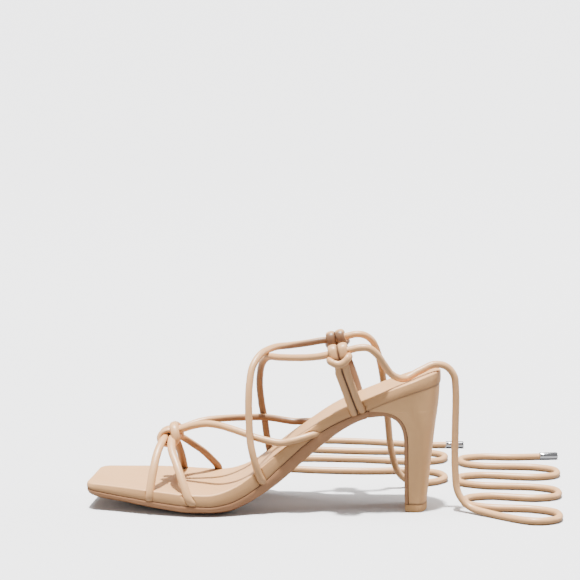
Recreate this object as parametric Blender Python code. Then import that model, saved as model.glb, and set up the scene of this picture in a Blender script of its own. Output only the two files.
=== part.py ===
"""Strappy heeled sandal: square toe, slim block heel, cord straps, hitched side tabs and long ties.

Right shoe. The toe points to -X, the heel to +X, the inner (medial) side is -Y, up is +Z, and the
floor is z = 0. All tables are in millimetres. They are turned into metres where a shape is made.
"""

import math
from collections import namedtuple

import bmesh
import bpy
from mathutils import Matrix, Vector

MM = 0.001
GAP = 0.3                 # clearance between pieces that touch

# Driving sizes, millimetres
TOE_X = -115.0            # tip of the square toe
HEEL_X = 114.5            # back of the heel seat
TOE_CORNER = 6.5          # corner radius of the square toe, seen from above
SEAT_ROUND = 27.0         # depth of the round back of the heel seat
ROLL = 1.7                # radius of the rolled top edge of the footbed
WALL_BULGE = 0.4          # how far the padded footbed wall swells
DISH = 0.5                # hollow across the footbed
STRAP = 4.6               # diameter of the strap and tie cord
TAB_CORD = 4.2            # diameter of the cord of the side tabs
NOTCH_INSET = 0.8         # strap centre inside the footbed wall where it is tucked in
TIP_HEIGHT = 5.0          # wearing tip under the heel
FLAP = 2.2                # outsole thickness on the breast of the heel
FLAP_SWELL = 2.0          # extra thickness where the flap leaves the waist
FLAP_SWELL_REACH = 13.0   # and this far down the breast it is gone
METAL_TIP_LENGTH = 13.5
METAL_TIP_DIAMETER = 5.2
TUBE_SIDES = 2            # bevel resolution: 8 sides

# Heights and half widths of the sole along the shoe
SoleRow = namedtuple("SoleRow", "x top seam low medial lateral")
SOLE = [
    SoleRow(-115.0, 17.8, 13.8, 8.8, 25.0, 26.8),
    SoleRow(-104.0, 17.6, 12.3, 6.3, 27.0, 28.8),
    SoleRow(-92.0, 17.2, 11.0, 5.1, 30.0, 31.4),
    SoleRow(-74.0, 16.4, 9.4, 2.8, 34.6, 35.8),
    SoleRow(-60.0, 15.6, 8.1, 1.2, 37.3, 38.2),
    SoleRow(-46.0, 14.7, 7.1, 0.0, 39.1, 39.2),
    SoleRow(-32.0, 14.4, 6.7, 0.0, 38.6, 39.1),
    SoleRow(-22.0, 16.8, 7.9, 0.7, 36.2, 38.1),
    SoleRow(-12.0, 21.4, 11.6, 4.3, 32.6, 36.0),
    SoleRow(0.0, 30.8, 19.4, 11.4, 28.2, 32.0),
    SoleRow(14.0, 42.6, 32.2, 22.3, 25.0, 28.2),
    SoleRow(28.0, 53.2, 45.0, 34.9, 23.0, 25.6),
    SoleRow(42.0, 63.2, 55.6, 47.0, 22.2, 24.2),
    SoleRow(54.0, 69.8, 62.0, 55.8, 22.3, 23.8),
    SoleRow(66.0, 75.0, 66.8, 61.9, 23.0, 23.8),
    SoleRow(80.0, 80.8, 73.2, 65.2, 23.9, 24.0),
    SoleRow(94.0, 86.2, 78.6, 74.0, 24.3, 24.3),
    SoleRow(106.0, 90.4, 81.8, 78.0, 24.3, 24.3),
    SoleRow(114.5, 92.6, 83.4, 80.0, 24.3, 24.3),
]
OUTSOLE_END = 67.2        # here the outsole leaves the footbed and turns down the heel
EDGE_LIFT_BALL = 3.0      # rise of the outsole's lower edge beside its flat middle
EDGE_LIFT_WAIST = 0.3
LIFT_FROM = -20.0         # the rise eases from its ball value to its waist value between these places
LIFT_TO = 10.0
FLAT_SHARE = 0.62         # share of the outsole's width that is flat underneath
EDGE_BULGE = 0.1          # swell of the outsole's side
EDGE_TUCK = 0.7           # the lower edge stands this far inside the upper one
FLAP_TUCK = 0.4

# Level sections of the heel: front and back, half width at the front and at the widest, round of the back
HeelRow = namedtuple("HeelRow", "z front back half_front half round")
HEEL = [
    HeelRow(5.3, 94.4, 106.4, 13.2, 13.8, 6.0),
    HeelRow(20.0, 94.1, 107.8, 14.0, 14.5, 6.6),
    HeelRow(36.0, 93.9, 109.3, 15.2, 15.7, 8.0),
    HeelRow(50.0, 93.4, 110.8, 17.2, 17.6, 10.5),
    HeelRow(57.0, 91.7, 111.6, 18.8, 19.0, 13.0),
    HeelRow(61.6, 89.0, 112.2, 20.1, 20.1, 15.4),
    HeelRow(64.4, 85.6, 112.6, 21.0, 21.0, 17.8),
    HeelRow(66.2, 81.6, 112.8, 21.6, 21.6, 19.4),
    HeelRow(67.1, 76.4, 113.0, 22.0, 22.0, 21.0),
    HeelRow(67.4, 68.8, 113.1, 22.3, 22.3, 22.4),
    HeelRow(76.0, 68.8, 113.8, 23.3, 23.3, 25.0),
    HeelRow(86.0, 68.8, 114.2, 23.7, 23.7, 26.0),
]
HEEL_ARC_STEPS = 10
BREAST_TOP = 67.4         # the flap of the outsole starts at this height on the heel's front
TIP_BEVEL = 0.6           # worn lower edge of the wearing tip

# Routes of the straps, millimetres. Each is tucked into the footbed wall at its anchors.
Point = namedtuple("Point", "x y z")
TOE_FRONT = [
    Point(-70.7, -31.6, 21.0),
    Point(-70.2, -26.6, 30.0),
    Point(-69.2, -19.4, 38.0),
    Point(-67.3, -12.0, 43.2),
    Point(-65.4, -5.5, 45.6),
    Point(-64.4, 0.5, 46.0),
    Point(-63.2, 6.5, 44.4),
    Point(-60.8, 13.5, 39.2),
    Point(-59.6, 23.0, 30.6),
    Point(-59.3, 31.0, 21.6),
]
TOE_REAR = [
    Point(-47.0, -36.2, 17.0),
    Point(-50.0, -33.0, 23.8),
    Point(-53.6, -27.0, 31.0),
    Point(-58.4, -18.0, 38.8),
    Point(-60.6, -11.0, 43.0),
    Point(-61.4, -5.5, 45.6),
    Point(-60.6, 0.5, 46.4),
    Point(-58.8, 6.5, 44.6),
    Point(-55.3, 14.0, 39.8),
    Point(-50.6, 20.0, 34.8),
    Point(-45.2, 26.2, 28.9),
    Point(-40.4, 32.6, 21.8),
    Point(-37.2, 36.8, 17.0),
]
TOE_WRAP = [
    Point(-62.2, -1.6, 51.0),
    Point(-66.6, -3.4, 49.4),
    Point(-69.4, -6.2, 45.6),
    Point(-67.6, -7.8, 42.2),
    Point(-63.4, -8.0, 40.9),
    Point(-59.2, -7.4, 42.4),
    Point(-57.2, -5.4, 46.2),
    Point(-58.6, -2.8, 49.8),
]
INSTEP_MEDIAL = [
    Point(-60.5, -2.2, 49.2),
    Point(-55.0, -3.2, 50.2),
    Point(-47.0, -5.4, 52.8),
    Point(-37.5, -9.0, 55.0),
    Point(-28.5, -13.0, 54.9),
    Point(-19.5, -17.2, 53.4),
    Point(-11.0, -21.0, 51.4),
    Point(-5.0, -24.0, 49.8),
    Point(5.0, -24.8, 47.6),
    Point(13.0, -25.6, 46.8),
    Point(20.0, -25.7, 48.4),
    Point(26.0, -24.2, 50.7),
    Point(29.5, -22.2, 51.9),
    Point(32.5, -19.8, 52.9),
]
INSTEP_LATERAL = [
    Point(-60.5, 2.2, 49.2),
    Point(-55.0, 3.2, 50.2),
    Point(-47.0, 5.6, 52.6),
    Point(-39.0, 8.6, 54.2),
    Point(-31.0, 12.2, 54.5),
    Point(-23.0, 16.4, 54.3),
    Point(-15.0, 20.4, 53.9),
    Point(-7.0, 25.0, 53.5),
    Point(1.0, 27.6, 52.6),
    Point(9.0, 28.4, 51.2),
    Point(16.5, 28.3, 50.2),
    Point(23.0, 27.2, 50.5),
    Point(28.0, 25.0, 51.6),
    Point(32.0, 22.2, 52.9),
]
ANKLE_MEDIAL = [
    Point(-0.6, -28.6, 27.6),
    Point(-2.6, -29.2, 34.0),
    Point(-4.6, -28.6, 41.0),
    Point(-6.0, -27.6, 48.0),
    Point(-7.4, -26.4, 59.0),
    Point(-8.0, -24.6, 71.0),
    Point(-7.8, -21.6, 83.0),
    Point(-6.4, -16.4, 94.0),
    Point(-2.2, -8.2, 100.8),
    Point(1.8, 0.0, 102.8),
    Point(6.6, 7.0, 103.8),
    Point(15.0, 16.0, 103.8),
    Point(26.0, 23.6, 104.4),
    Point(36.0, 27.4, 105.7),
]
ANKLE_LATERAL = [
    Point(0.4, 32.2, 31.0),
    Point(-1.8, 32.2, 40.0),
    Point(-3.4, 30.0, 51.0),
    Point(-5.0, 27.4, 62.0),
    Point(-5.8, 22.4, 75.6),
    Point(-4.2, 13.0, 87.8),
    Point(-1.6, 5.8, 94.6),
    Point(2.5, 0.0, 98.8),
    Point(10.4, -8.6, 99.6),
    Point(20.5, -17.6, 100.8),
    Point(31.5, -24.8, 102.3),
    Point(40.5, -28.0, 104.0),
]
# Where each strap meets the sole: distance along the shoe and side (-1 medial, 1 lateral)
Anchor = namedtuple("Anchor", "x side")
TOE_FRONT_FEET = (Anchor(-70.8, -1), Anchor(-59.3, 1))
TOE_REAR_FEET = (Anchor(-43.0, -1), Anchor(-34.8, 1))
ANKLE_FEET = (Anchor(2.0, -1), Anchor(3.0, 1))
FOOT_RISE = 0.8           # a strap stops this far over the seam
TUCK_RISE = 5.0           # and stands straight up its notch for this length

# The side tabs: a doubled cord hitched round the lace
Tab = namedtuple("Tab", "side foot_x lace_x lace_y lace_z waypoints")
TABS = {
    "tab_medial": Tab(-1, 62.0, 49.8, 28.6, 106.4,
                      [Point(59.2, 25.2, 74.4), Point(55.8, 28.8, 84.6), Point(52.8, 31.6, 93.6)]),
    "tab_lateral": Tab(1, 59.2, 45.0, 28.6, 107.0,
                       [Point(57.6, 26.4, 73.6), Point(53.8, 29.4, 84.6), Point(49.0, 31.8, 96.0)]),
}
STRAND_SPACING = TAB_CORD + GAP
HITCH_LEG = 11.0          # the two strands run side by side this far under the lace
BAR_DROP = 5.6            # the bar of the hitch crosses this far under the lace
HitchPoint = namedtuple("HitchPoint", "along out up")
LACE_SLOPE = 13.0         # a lace climbs at this angle through its hitch, degrees
LACE_PAST_HITCH = 9.0     # a lace ends this far behind the middle of its hitch

# Routes of the untied ends past their tabs, down to the floor where they lie
FLOOR_Z = STRAP / 2 + 0.15
TIE_MEDIAL = [
    Point(68.8, -28.4, 109.2),
    Point(74.0, -27.2, 105.2),
    Point(78.2, -24.8, 98.8),
    Point(83.4, -21.0, 91.4),
    Point(91.0, -16.0, 88.0),
    Point(101.0, -11.2, 92.4),
    Point(110.6, -7.9, 96.2),
    Point(118.0, -7.1, 94.8),
    Point(122.8, -6.8, 89.4),
    Point(124.2, -6.8, 81.0),
    Point(124.4, -7.4, 30.0),
    Point(126.6, -8.8, 12.6),
    Point(133.4, -12.0, 4.6),
    Point(145.0, -20.0, FLOOR_Z),
    Point(174.0, -38.0, FLOOR_Z),
    Point(188.5, -31.0, FLOOR_Z),
    Point(189.0, -15.5, FLOOR_Z),
    Point(175.0, -7.5, FLOOR_Z),
    Point(147.0, -5.5, FLOOR_Z),
    Point(133.5, 2.0, FLOOR_Z),
    Point(133.0, 17.5, FLOOR_Z),
    Point(147.0, 25.0, FLOOR_Z),
    Point(179.0, 22.0, FLOOR_Z),
    Point(193.0, 29.5, FLOOR_Z),
    Point(193.5, 45.0, FLOOR_Z),
    Point(179.5, 53.0, FLOOR_Z),
    Point(144.0, 55.0, FLOOR_Z),
    Point(130.0, 62.5, FLOOR_Z),
    Point(129.5, 78.0, FLOOR_Z),
    Point(143.5, 85.5, FLOOR_Z),
    Point(183.0, 83.0, FLOOR_Z),
    Point(197.0, 90.5, FLOOR_Z),
    Point(197.5, 106.0, FLOOR_Z),
    Point(183.5, 114.0, FLOOR_Z),
    Point(147.0, 115.0, FLOOR_Z),
    Point(133.0, 122.5, FLOOR_Z),
    Point(132.5, 138.0, FLOOR_Z),
    Point(147.0, 146.0, FLOOR_Z),
    Point(168.0, 146.0, FLOOR_Z),
    Point(190.0, 150.0, FLOOR_Z),
]
TIE_LATERAL = [
    Point(63.6, 29.4, 109.4),
    Point(68.8, 31.6, 105.6),
    Point(72.4, 35.2, 97.6),
    Point(75.0, 39.2, 86.0),
    Point(77.0, 42.6, 72.0),
    Point(79.4, 45.6, 50.0),
    Point(82.2, 48.0, 26.0),
    Point(87.4, 51.0, 10.6),
    Point(97.0, 55.4, 3.4),
    Point(111.0, 62.0, FLOOR_Z),
    Point(119.0, 74.0, FLOOR_Z),
    Point(115.0, 88.5, FLOOR_Z),
    Point(100.0, 95.0, FLOOR_Z),
    Point(58.0, 91.0, FLOOR_Z),
    Point(10.0, 94.0, FLOOR_Z),
    Point(-5.5, 101.5, FLOOR_Z),
    Point(-6.0, 118.5, FLOOR_Z),
    Point(9.0, 127.0, FLOOR_Z),
    Point(56.0, 129.0, FLOOR_Z),
    Point(101.0, 124.5, FLOOR_Z),
    Point(117.0, 132.0, FLOOR_Z),
    Point(119.0, 148.0, FLOOR_Z),
    Point(105.0, 157.5, FLOOR_Z),
    Point(62.0, 157.0, FLOOR_Z),
    Point(16.0, 161.0, FLOOR_Z),
    Point(1.0, 169.0, FLOOR_Z),
    Point(0.0, 184.0, FLOOR_Z),
    Point(14.0, 192.5, FLOOR_Z),
    Point(60.0, 192.0, FLOOR_Z),
    Point(100.0, 184.0, FLOOR_Z),
    Point(121.0, 185.0, FLOOR_Z),
]
STRAP_STEP = 5.6          # spacing of the rings along a strap
TAB_STEP = 3.4
NOTCH_REACH = 26.0        # length of strap that a notch may hold
THROUGH_SEAM = 4.0        # a notch is cut this far past the strap's end, out through the seam
LACE_LEAD = 4.0           # a lace is straight this far each side of its hitch
TIE_STEP = 2 * STRAP
TIE_LEAD = 4.0            # a tie leaves its hitch straight for this length

# Colour, roughness and metallic value of each finish
Finish = namedtuple("Finish", "colour roughness metallic")
FINISHES = {
    "footbed": Finish((0.66, 0.47, 0.33), 0.45, 0.0),
    "outsole": Finish((0.42, 0.26, 0.15), 0.55, 0.0),
    "heel": Finish((0.56, 0.36, 0.22), 0.42, 0.0),
    "heel_tip": Finish((0.42, 0.27, 0.16), 0.55, 0.0),
    "strap": Finish((0.70, 0.49, 0.35), 0.45, 0.0),
    "metal": Finish((0.80, 0.80, 0.82), 0.12, 1.0),
}


def clear_scene():
    for item in list(bpy.data.objects):
        bpy.data.objects.remove(item, do_unlink=True)


def new_collection(name):
    group = bpy.data.collections.new(name)
    bpy.context.scene.collection.children.link(group)
    return group


def make_material(name):
    finish = FINISHES[name]
    material = bpy.data.materials.new(name)
    material.use_nodes = True
    shader = material.node_tree.nodes["Principled BSDF"]
    shader.inputs["Base Color"].default_value = (*finish.colour, 1.0)
    shader.inputs["Roughness"].default_value = finish.roughness
    shader.inputs["Metallic"].default_value = finish.metallic
    return material


def smooth(rows, key, column, at):
    """Read a column of a table at any place, on a curve with no overshoot."""
    keys = [getattr(row, key) for row in rows]
    values = [getattr(row, column) for row in rows]
    at = min(max(at, keys[0]), keys[-1])
    slopes = [(values[i + 1] - values[i]) / (keys[i + 1] - keys[i]) for i in range(len(keys) - 1)]
    tangents = [slopes[0]]
    for before, after in zip(slopes, slopes[1:]):
        opposed = before * after <= 0.0
        tangents.append(0.0 if opposed else 2.0 * before * after / (before + after))
    tangents.append(slopes[-1])
    index = max(i for i in range(len(keys) - 1) if keys[i] <= at)
    span = keys[index + 1] - keys[index]
    t = (at - keys[index]) / span
    start = values[index] * (1 + 2 * t) * (1 - t) ** 2 + tangents[index] * span * t * (1 - t) ** 2
    end = values[index + 1] * t * t * (3 - 2 * t) + tangents[index + 1] * span * t * t * (t - 1)
    return start + end


def half_width(x, column):
    """Half width of the footbed: table in the middle, corners at the toe, half ellipse at the back."""
    width = smooth(SOLE, "x", column, x)
    from_toe = x - TOE_X
    if from_toe < TOE_CORNER:
        width -= TOE_CORNER - math.sqrt(TOE_CORNER ** 2 - (TOE_CORNER - from_toe) ** 2)
    into_round = (x - (HEEL_X - SEAT_ROUND)) / SEAT_ROUND
    if into_round > 0.0:
        width *= math.sqrt(max(0.0, 1.0 - into_round ** 2))
    return width


def seam_height(x):
    return smooth(SOLE, "x", "seam", x)


def top_height(x):
    """Height of the footbed, rolled down at the toe and at the back of the seat."""
    height = smooth(SOLE, "x", "top", x)
    from_end = min(x - TOE_X, HEEL_X - x)
    if from_end < ROLL:
        height -= ROLL - math.sqrt(ROLL ** 2 - (ROLL - from_end) ** 2)
    return height


def stations(count_toe, count_middle, count_back):
    """Places along the shoe, closer together round the toe corners and the back of the seat."""
    toe = [TOE_X + 0.3 + TOE_CORNER * (1 - math.cos(0.5 * math.pi * i / count_toe)) for i in range(count_toe)]
    first = toe[0] + TOE_CORNER
    last = HEEL_X - SEAT_ROUND
    middle = [first + (last - first) * i / count_middle for i in range(count_middle)]
    reach = SEAT_ROUND - 0.25
    back = [last + reach * math.sin(0.5 * math.pi * i / count_back) for i in range(count_back + 1)]
    return toe + middle + back


def link(name, mesh, material, group):
    item = bpy.data.objects.new(name, mesh)
    group.objects.link(item)
    mesh.materials.clear()
    mesh.materials.append(material)
    return item


def loft(name, rings, material, group):
    """A closed solid through rings of equally many points, millimetres, with flat ends."""
    work = bmesh.new()
    loops = [[work.verts.new(Vector(point) * MM) for point in ring] for ring in rings]
    count = len(loops[0])
    for here, there in zip(loops, loops[1:]):
        for i in range(count):
            j = (i + 1) % count
            work.faces.new((here[i], here[j], there[j], there[i]))
    work.faces.new(loops[0])
    work.faces.new(list(reversed(loops[-1])))
    bmesh.ops.recalc_face_normals(work, faces=work.faces)
    mesh = bpy.data.meshes.new(name)
    work.to_mesh(mesh)
    work.free()
    mesh.shade_smooth()
    mesh.set_sharp_from_angle(angle=math.radians(40))
    return link(name, mesh, material, group)


def spline_points(route, step, cyclic=False):
    """Evenly spaced points on a smooth curve through a route."""
    route = [Vector(point) for point in route]
    count = len(route)
    dense = []
    for i in range(count if cyclic else count - 1):
        if cyclic:
            p0, p1, p2, p3 = (route[(i + k) % count] for k in (-1, 0, 1, 2))
        else:
            p1, p2 = route[i], route[i + 1]
            p0 = route[i - 1] if i else p1 * 2 - p2
            p3 = route[i + 2] if i + 2 < count else p2 * 2 - p1
        d01 = max((p1 - p0).length, 1e-6) ** 0.5
        d12 = max((p2 - p1).length, 1e-6) ** 0.5
        d23 = max((p3 - p2).length, 1e-6) ** 0.5
        m1 = (p2 - p1) + ((p1 - p0) / d01 - (p2 - p0) / (d01 + d12)) * d12
        m2 = (p2 - p1) + ((p3 - p2) / d23 - (p3 - p1) / (d12 + d23)) * d12
        for k in range(12):
            t = k / 12
            dense.append(p1 * (1 + 2 * t) * (1 - t) ** 2 + m1 * t * (1 - t) ** 2
                         + p2 * t * t * (3 - 2 * t) + m2 * t * t * (t - 1))
    dense.append(route[0] if cyclic else route[-1])
    lengths = [0.0]
    for here, there in zip(dense, dense[1:]):
        lengths.append(lengths[-1] + (there - here).length)
    pieces = max(3, round(lengths[-1] / step))
    points = []
    index = 0
    for k in range(pieces if cyclic else pieces + 1):
        target = lengths[-1] * k / pieces
        while index < len(lengths) - 2 and lengths[index + 1] < target:
            index += 1
        share = (target - lengths[index]) / (lengths[index + 1] - lengths[index])
        points.append(dense[index].lerp(dense[index + 1], share))
    return points


def tube(name, points, diameter, material, group, cyclic=False):
    """A round cord along points, as a curve with filled ends."""
    data = bpy.data.curves.new(name, "CURVE")
    data.dimensions = "3D"
    data.bevel_depth = diameter / 2 * MM
    data.bevel_resolution = TUBE_SIDES
    data.use_fill_caps = True
    spline = data.splines.new("POLY")
    spline.points.add(len(points) - 1)
    for slot, point in zip(spline.points, points):
        slot.co = (*(point * MM), 1.0)
    spline.use_cyclic_u = cyclic
    data.materials.append(material)
    item = bpy.data.objects.new(name, data)
    group.objects.link(item)
    return item


def as_mesh(item, group):
    """The evaluated shape of an object as a plain mesh with its loose ends welded."""
    bpy.context.view_layer.update()
    graph = bpy.context.evaluated_depsgraph_get()
    mesh = bpy.data.meshes.new_from_object(item.evaluated_get(graph))
    work = bmesh.new()
    work.from_mesh(mesh)
    bmesh.ops.remove_doubles(work, verts=work.verts, dist=0.00001)
    bmesh.ops.recalc_face_normals(work, faces=work.faces)
    work.to_mesh(mesh)
    work.free()
    name = item.name
    solid = bpy.data.objects.new(name + "_mesh", mesh)
    solid.matrix_world = item.matrix_world
    group.objects.link(solid)
    bpy.data.objects.remove(item, do_unlink=True)
    solid.name = name
    return solid


def combine(item, others, operation, group):
    """Join other solids to an item, or cut them from it, and leave one plain mesh."""
    for other in others:
        modifier = item.modifiers.new(other.name, "BOOLEAN")
        modifier.operation = operation
        modifier.solver = "EXACT"
        modifier.object = other
        other.hide_render = True
        other.display_type = "WIRE"
    result = as_mesh(item, group)
    for other in others:
        bpy.data.objects.remove(other, do_unlink=True)
    return result


def notch_foot(x, side, cord):
    """Where a cord ends in the footbed wall, clear of the sloping outsole across its whole width."""
    column = "medial" if side < 0 else "lateral"
    y = side * (half_width(x, column) - NOTCH_INSET)
    z = max(seam_height(x - cord / 2), seam_height(x + cord / 2)) + FOOT_RISE
    return Vector((x, y, z))


def anchor_points(anchor):
    """The two points of a strap in its notch: over the outsole, and straight above it."""
    foot = notch_foot(anchor.x, anchor.side, STRAP)
    return [foot, foot + Vector((0.0, 0.0, TUCK_RISE))]


def make_footbed(material, group):
    rings = []
    for x in stations(6, 26, 9):
        seam = seam_height(x)
        top = top_height(x)
        medial = half_width(x, "medial")
        lateral = half_width(x, "lateral")
        roll = min(ROLL, 0.6 * min(medial, lateral), 0.6 * (top - seam))
        middle = 0.5 * (seam + top - roll)
        ring = []
        for side, half in ((-1, medial), (1, lateral)):
            edge = [
                (x, side * (half - 0.3 * roll), seam),
                (x, side * half, seam + 0.3 * roll),
                (x, side * (half + WALL_BULGE), middle),
                (x, side * half, top - roll),
                (x, side * (half - 0.3 * roll), top - 0.3 * roll),
                (x, side * (half - roll), top),
            ]
            ring.append(edge if side < 0 else list(reversed(edge)))
        across = [(x, share, top - DISH) for share in (-0.45 * medial, 0.45 * lateral)]
        rings.append(ring[0] + across + ring[1])
    return loft("footbed", rings, material, group)


def breast_curve():
    """The front of the heel from its top edge down to the wearing tip, in the XZ plane, with half widths."""
    rows = [row for row in HEEL if row.z <= BREAST_TOP]
    return list(reversed(rows))


def make_outsole(material, group):
    rings = []
    places = [x for x in stations(6, 24, 4) if x < OUTSOLE_END]
    for x in places + [OUTSOLE_END]:
        upper = seam_height(x) - GAP
        low = smooth(SOLE, "x", "low", x)
        share = min(1.0, max(0.0, (x - LIFT_FROM) / (LIFT_TO - LIFT_FROM)))
        lift = EDGE_LIFT_BALL + (EDGE_LIFT_WAIST - EDGE_LIFT_BALL) * share
        medial = half_width(x, "medial")
        lateral = half_width(x, "lateral")
        rings.append([
            (x, -medial, upper),
            (x, -medial - EDGE_BULGE, 0.5 * (upper + low + lift)),
            (x, -medial + EDGE_TUCK, low + lift),
            (x, -medial * FLAT_SHARE, low),
            (x, lateral * FLAT_SHARE, low),
            (x, lateral - EDGE_TUCK, low + lift),
            (x, lateral + EDGE_BULGE, 0.5 * (upper + low + lift)),
            (x, lateral, upper),
        ])
    rows = breast_curve()
    for index, row in enumerate(rows):
        before = rows[max(0, index - 1)]
        after = rows[min(len(rows) - 1, index + 1)]
        along = Vector((after.front - before.front, 0.0, after.z - before.z)).normalized()
        out = Vector((along.z, 0.0, -along.x))
        inner = Vector((row.front, 0.0, row.z)) + out * GAP
        from_top = math.hypot(row.front - rows[0].front, row.z - rows[0].z)
        outer = inner + out * (FLAP + FLAP_SWELL * max(0.0, 1.0 - from_top / FLAP_SWELL_REACH))
        half = row.half_front
        middle = inner.lerp(outer, 0.5)
        rings.append([
            (inner.x, -half, inner.z),
            (middle.x, -half - EDGE_BULGE, middle.z),
            (outer.x, -half + FLAP_TUCK, outer.z),
            (outer.x, -half * FLAT_SHARE, outer.z),
            (outer.x, half * FLAT_SHARE, outer.z),
            (outer.x, half - FLAP_TUCK, outer.z),
            (middle.x, half + EDGE_BULGE, middle.z),
            (inner.x, half, inner.z),
        ])
    return loft("outsole", rings, material, group)


def heel_ring(row, z):
    """A level section of the heel: flat front, straight sides, rounded back."""
    ring = [(row.front, -row.half_front, z)]
    for i in range(HEEL_ARC_STEPS + 1):
        angle = -0.5 * math.pi + math.pi * i / HEEL_ARC_STEPS
        x = row.back - row.round + row.round * math.cos(angle)
        ring.append((x, row.half * math.sin(angle), z))
    ring.append((row.front, row.half_front, z))
    return ring


def make_heel(material, group, cutters):
    """The heel block, cut off along the seam under the footbed."""
    heel = loft("heel", [heel_ring(row, row.z) for row in HEEL], material, group)
    first = OUTSOLE_END - 6.0
    last = HEEL_X + 6.0
    reach = 40.0
    height = 130.0
    steps = 20
    rings = []
    for i in range(steps + 1):
        x = first + (last - first) * i / steps
        base = seam_height(x) - GAP
        rings.append([(x, -reach, base), (x, reach, base), (x, reach, height), (x, -reach, height)])
    above_seam = loft("above_seam", rings, material, cutters)
    return combine(heel, [above_seam], "DIFFERENCE", group)


def make_heel_tip(material, group):
    """The wearing tip, under the heel and under the end of the outsole's flap."""
    heel_foot = HEEL[0]
    foot = heel_foot._replace(front=heel_foot.front - FLAP)
    worn = foot._replace(front=foot.front + TIP_BEVEL, back=foot.back - TIP_BEVEL,
                         half_front=foot.half_front - TIP_BEVEL, half=foot.half - TIP_BEVEL)
    rings = [heel_ring(worn, 0.0), heel_ring(foot, TIP_BEVEL), heel_ring(foot, TIP_HEIGHT)]
    return loft("heel_tip", rings, material, group)


def hitch_frame(tab):
    """Middle of a hitch and its directions: along the lace, outwards and up."""
    centre = Vector((tab.lace_x, tab.side * tab.lace_y, tab.lace_z))
    slope = math.radians(LACE_SLOPE)
    along = Vector((math.cos(slope), 0, math.sin(slope)))
    up = Vector((-math.sin(slope), 0, math.cos(slope)))
    return centre, along, Vector((0, tab.side, 0)), up


def tab_route(tab):
    """One cord: up one leg, over the lace, under and across as a bar, and back down the other leg."""
    centre, along, out, up = hitch_frame(tab)
    reach = STRAP / 2 + GAP + TAB_CORD / 2
    slant = 0.76 * reach
    strand = STRAND_SPACING / 2
    bar_out = reach + STRAND_SPACING + 0.2
    bar_end = strand + STRAND_SPACING
    half = [
        HitchPoint(strand, reach + 0.2, -HITCH_LEG),
        HitchPoint(strand, reach, -3.5),
        HitchPoint(strand, reach, 1.0),
        HitchPoint(strand, slant, slant),
        HitchPoint(strand, 0.0, reach + 0.1),
        HitchPoint(strand, -slant, slant),
        HitchPoint(strand + 0.1, -reach - 0.1, 0.0),
        HitchPoint(strand + 0.9, -slant, -slant),
        HitchPoint(strand + 2.6, 0.1 * reach, 0.4 - BAR_DROP),
        HitchPoint(bar_end + 0.2, reach, -BAR_DROP),
        HitchPoint(bar_end - 2.2, bar_out - 0.4, -BAR_DROP),
    ]
    hitch = [centre + along * p.along + out * p.out + up * p.up for p in half]
    other = [centre - along * p.along + out * p.out + up * p.up for p in reversed(half)]
    bar = [centre + out * (bar_out + 0.1) - up * BAR_DROP]
    legs = []
    for sign in (1, -1):
        foot = notch_foot(tab.foot_x + sign * strand, tab.side, TAB_CORD)
        leg = [foot, foot + Vector((-0.2, tab.side * 0.3, TUCK_RISE))]
        leg += [Vector((p.x + sign * strand, tab.side * p.y, p.z)) for p in tab.waypoints]
        legs.append(leg)
    return legs[0] + hitch + bar + other + list(reversed(legs[1]))


def lace_end(tab):
    """The straight end of a lace through its hitch."""
    centre, along, _, _ = hitch_frame(tab)
    return [centre - along * LACE_LEAD, centre + along * LACE_LEAD, centre + along * LACE_PAST_HITCH]


def strap_routes():
    toe_front = anchor_points(TOE_FRONT_FEET[0]) + TOE_FRONT + anchor_points(TOE_FRONT_FEET[1])[::-1]
    toe_rear = anchor_points(TOE_REAR_FEET[0]) + TOE_REAR + anchor_points(TOE_REAR_FEET[1])[::-1]
    medial = anchor_points(ANKLE_FEET[0])[:1] + ANKLE_MEDIAL + lace_end(TABS["tab_lateral"])
    lateral = anchor_points(ANKLE_FEET[1])[:1] + ANKLE_LATERAL + lace_end(TABS["tab_medial"])
    return {
        "toe_front": toe_front,
        "toe_rear": toe_rear,
        "instep_medial": INSTEP_MEDIAL,
        "instep_lateral": INSTEP_LATERAL,
        "ankle_medial": medial,
        "ankle_lateral": lateral,
    }


def make_upper(material, group, cutters):
    """All the straps, joined where they cross and at the toe knot."""
    pieces = []
    for name, route in strap_routes().items():
        strap = tube(name, spline_points(route, STRAP_STEP), STRAP, material, cutters)
        pieces.append(as_mesh(strap, cutters))
    for name, side in (("wrap_medial", 1), ("wrap_lateral", -1)):
        route = [Point(p.x, side * p.y, p.z) for p in TOE_WRAP]
        wrap = tube(name, spline_points(route, STRAP_STEP, True), STRAP, material, cutters, True)
        pieces.append(as_mesh(wrap, cutters))
    upper = combine(pieces[0], pieces[1:], "UNION", group)
    upper.name = "upper"
    return upper


def foot_of(points, past_end):
    """The stretch of a strap that lies in its notch, carried on past the strap's end."""
    out = (points[0] - points[1]).normalized()
    foot = [points[0] + out * past_end]
    travelled = 0.0
    for here, there in zip(points, points[1:]):
        foot.append(here)
        travelled += (there - here).length
        if travelled > NOTCH_REACH:
            break
    return foot + [there]


def cut_notches(footbed, material, group, cutters):
    """Notches in the footbed wall that hold the feet of the straps and tabs."""
    feet = []
    for name, route in strap_routes().items():
        points = spline_points(route, STRAP_STEP)
        if name.startswith("instep"):
            feet.append((foot_of(points[::-1], GAP), STRAP))
            continue
        feet.append((foot_of(points, THROUGH_SEAM), STRAP))
        if name.startswith("toe"):
            feet.append((foot_of(points[::-1], THROUGH_SEAM), STRAP))
    for tab in TABS.values():
        points = spline_points(tab_route(tab), TAB_STEP)
        feet.append((foot_of(points, THROUGH_SEAM), TAB_CORD))
        feet.append((foot_of(points[::-1], THROUGH_SEAM), TAB_CORD))
    solids = []
    for number, (points, cord) in enumerate(feet):
        cutter = tube("notch_%d" % number, points, cord + 2 * GAP, material, cutters)
        solids.append(as_mesh(cutter, cutters))
    return combine(footbed, solids, "DIFFERENCE", group)


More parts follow.
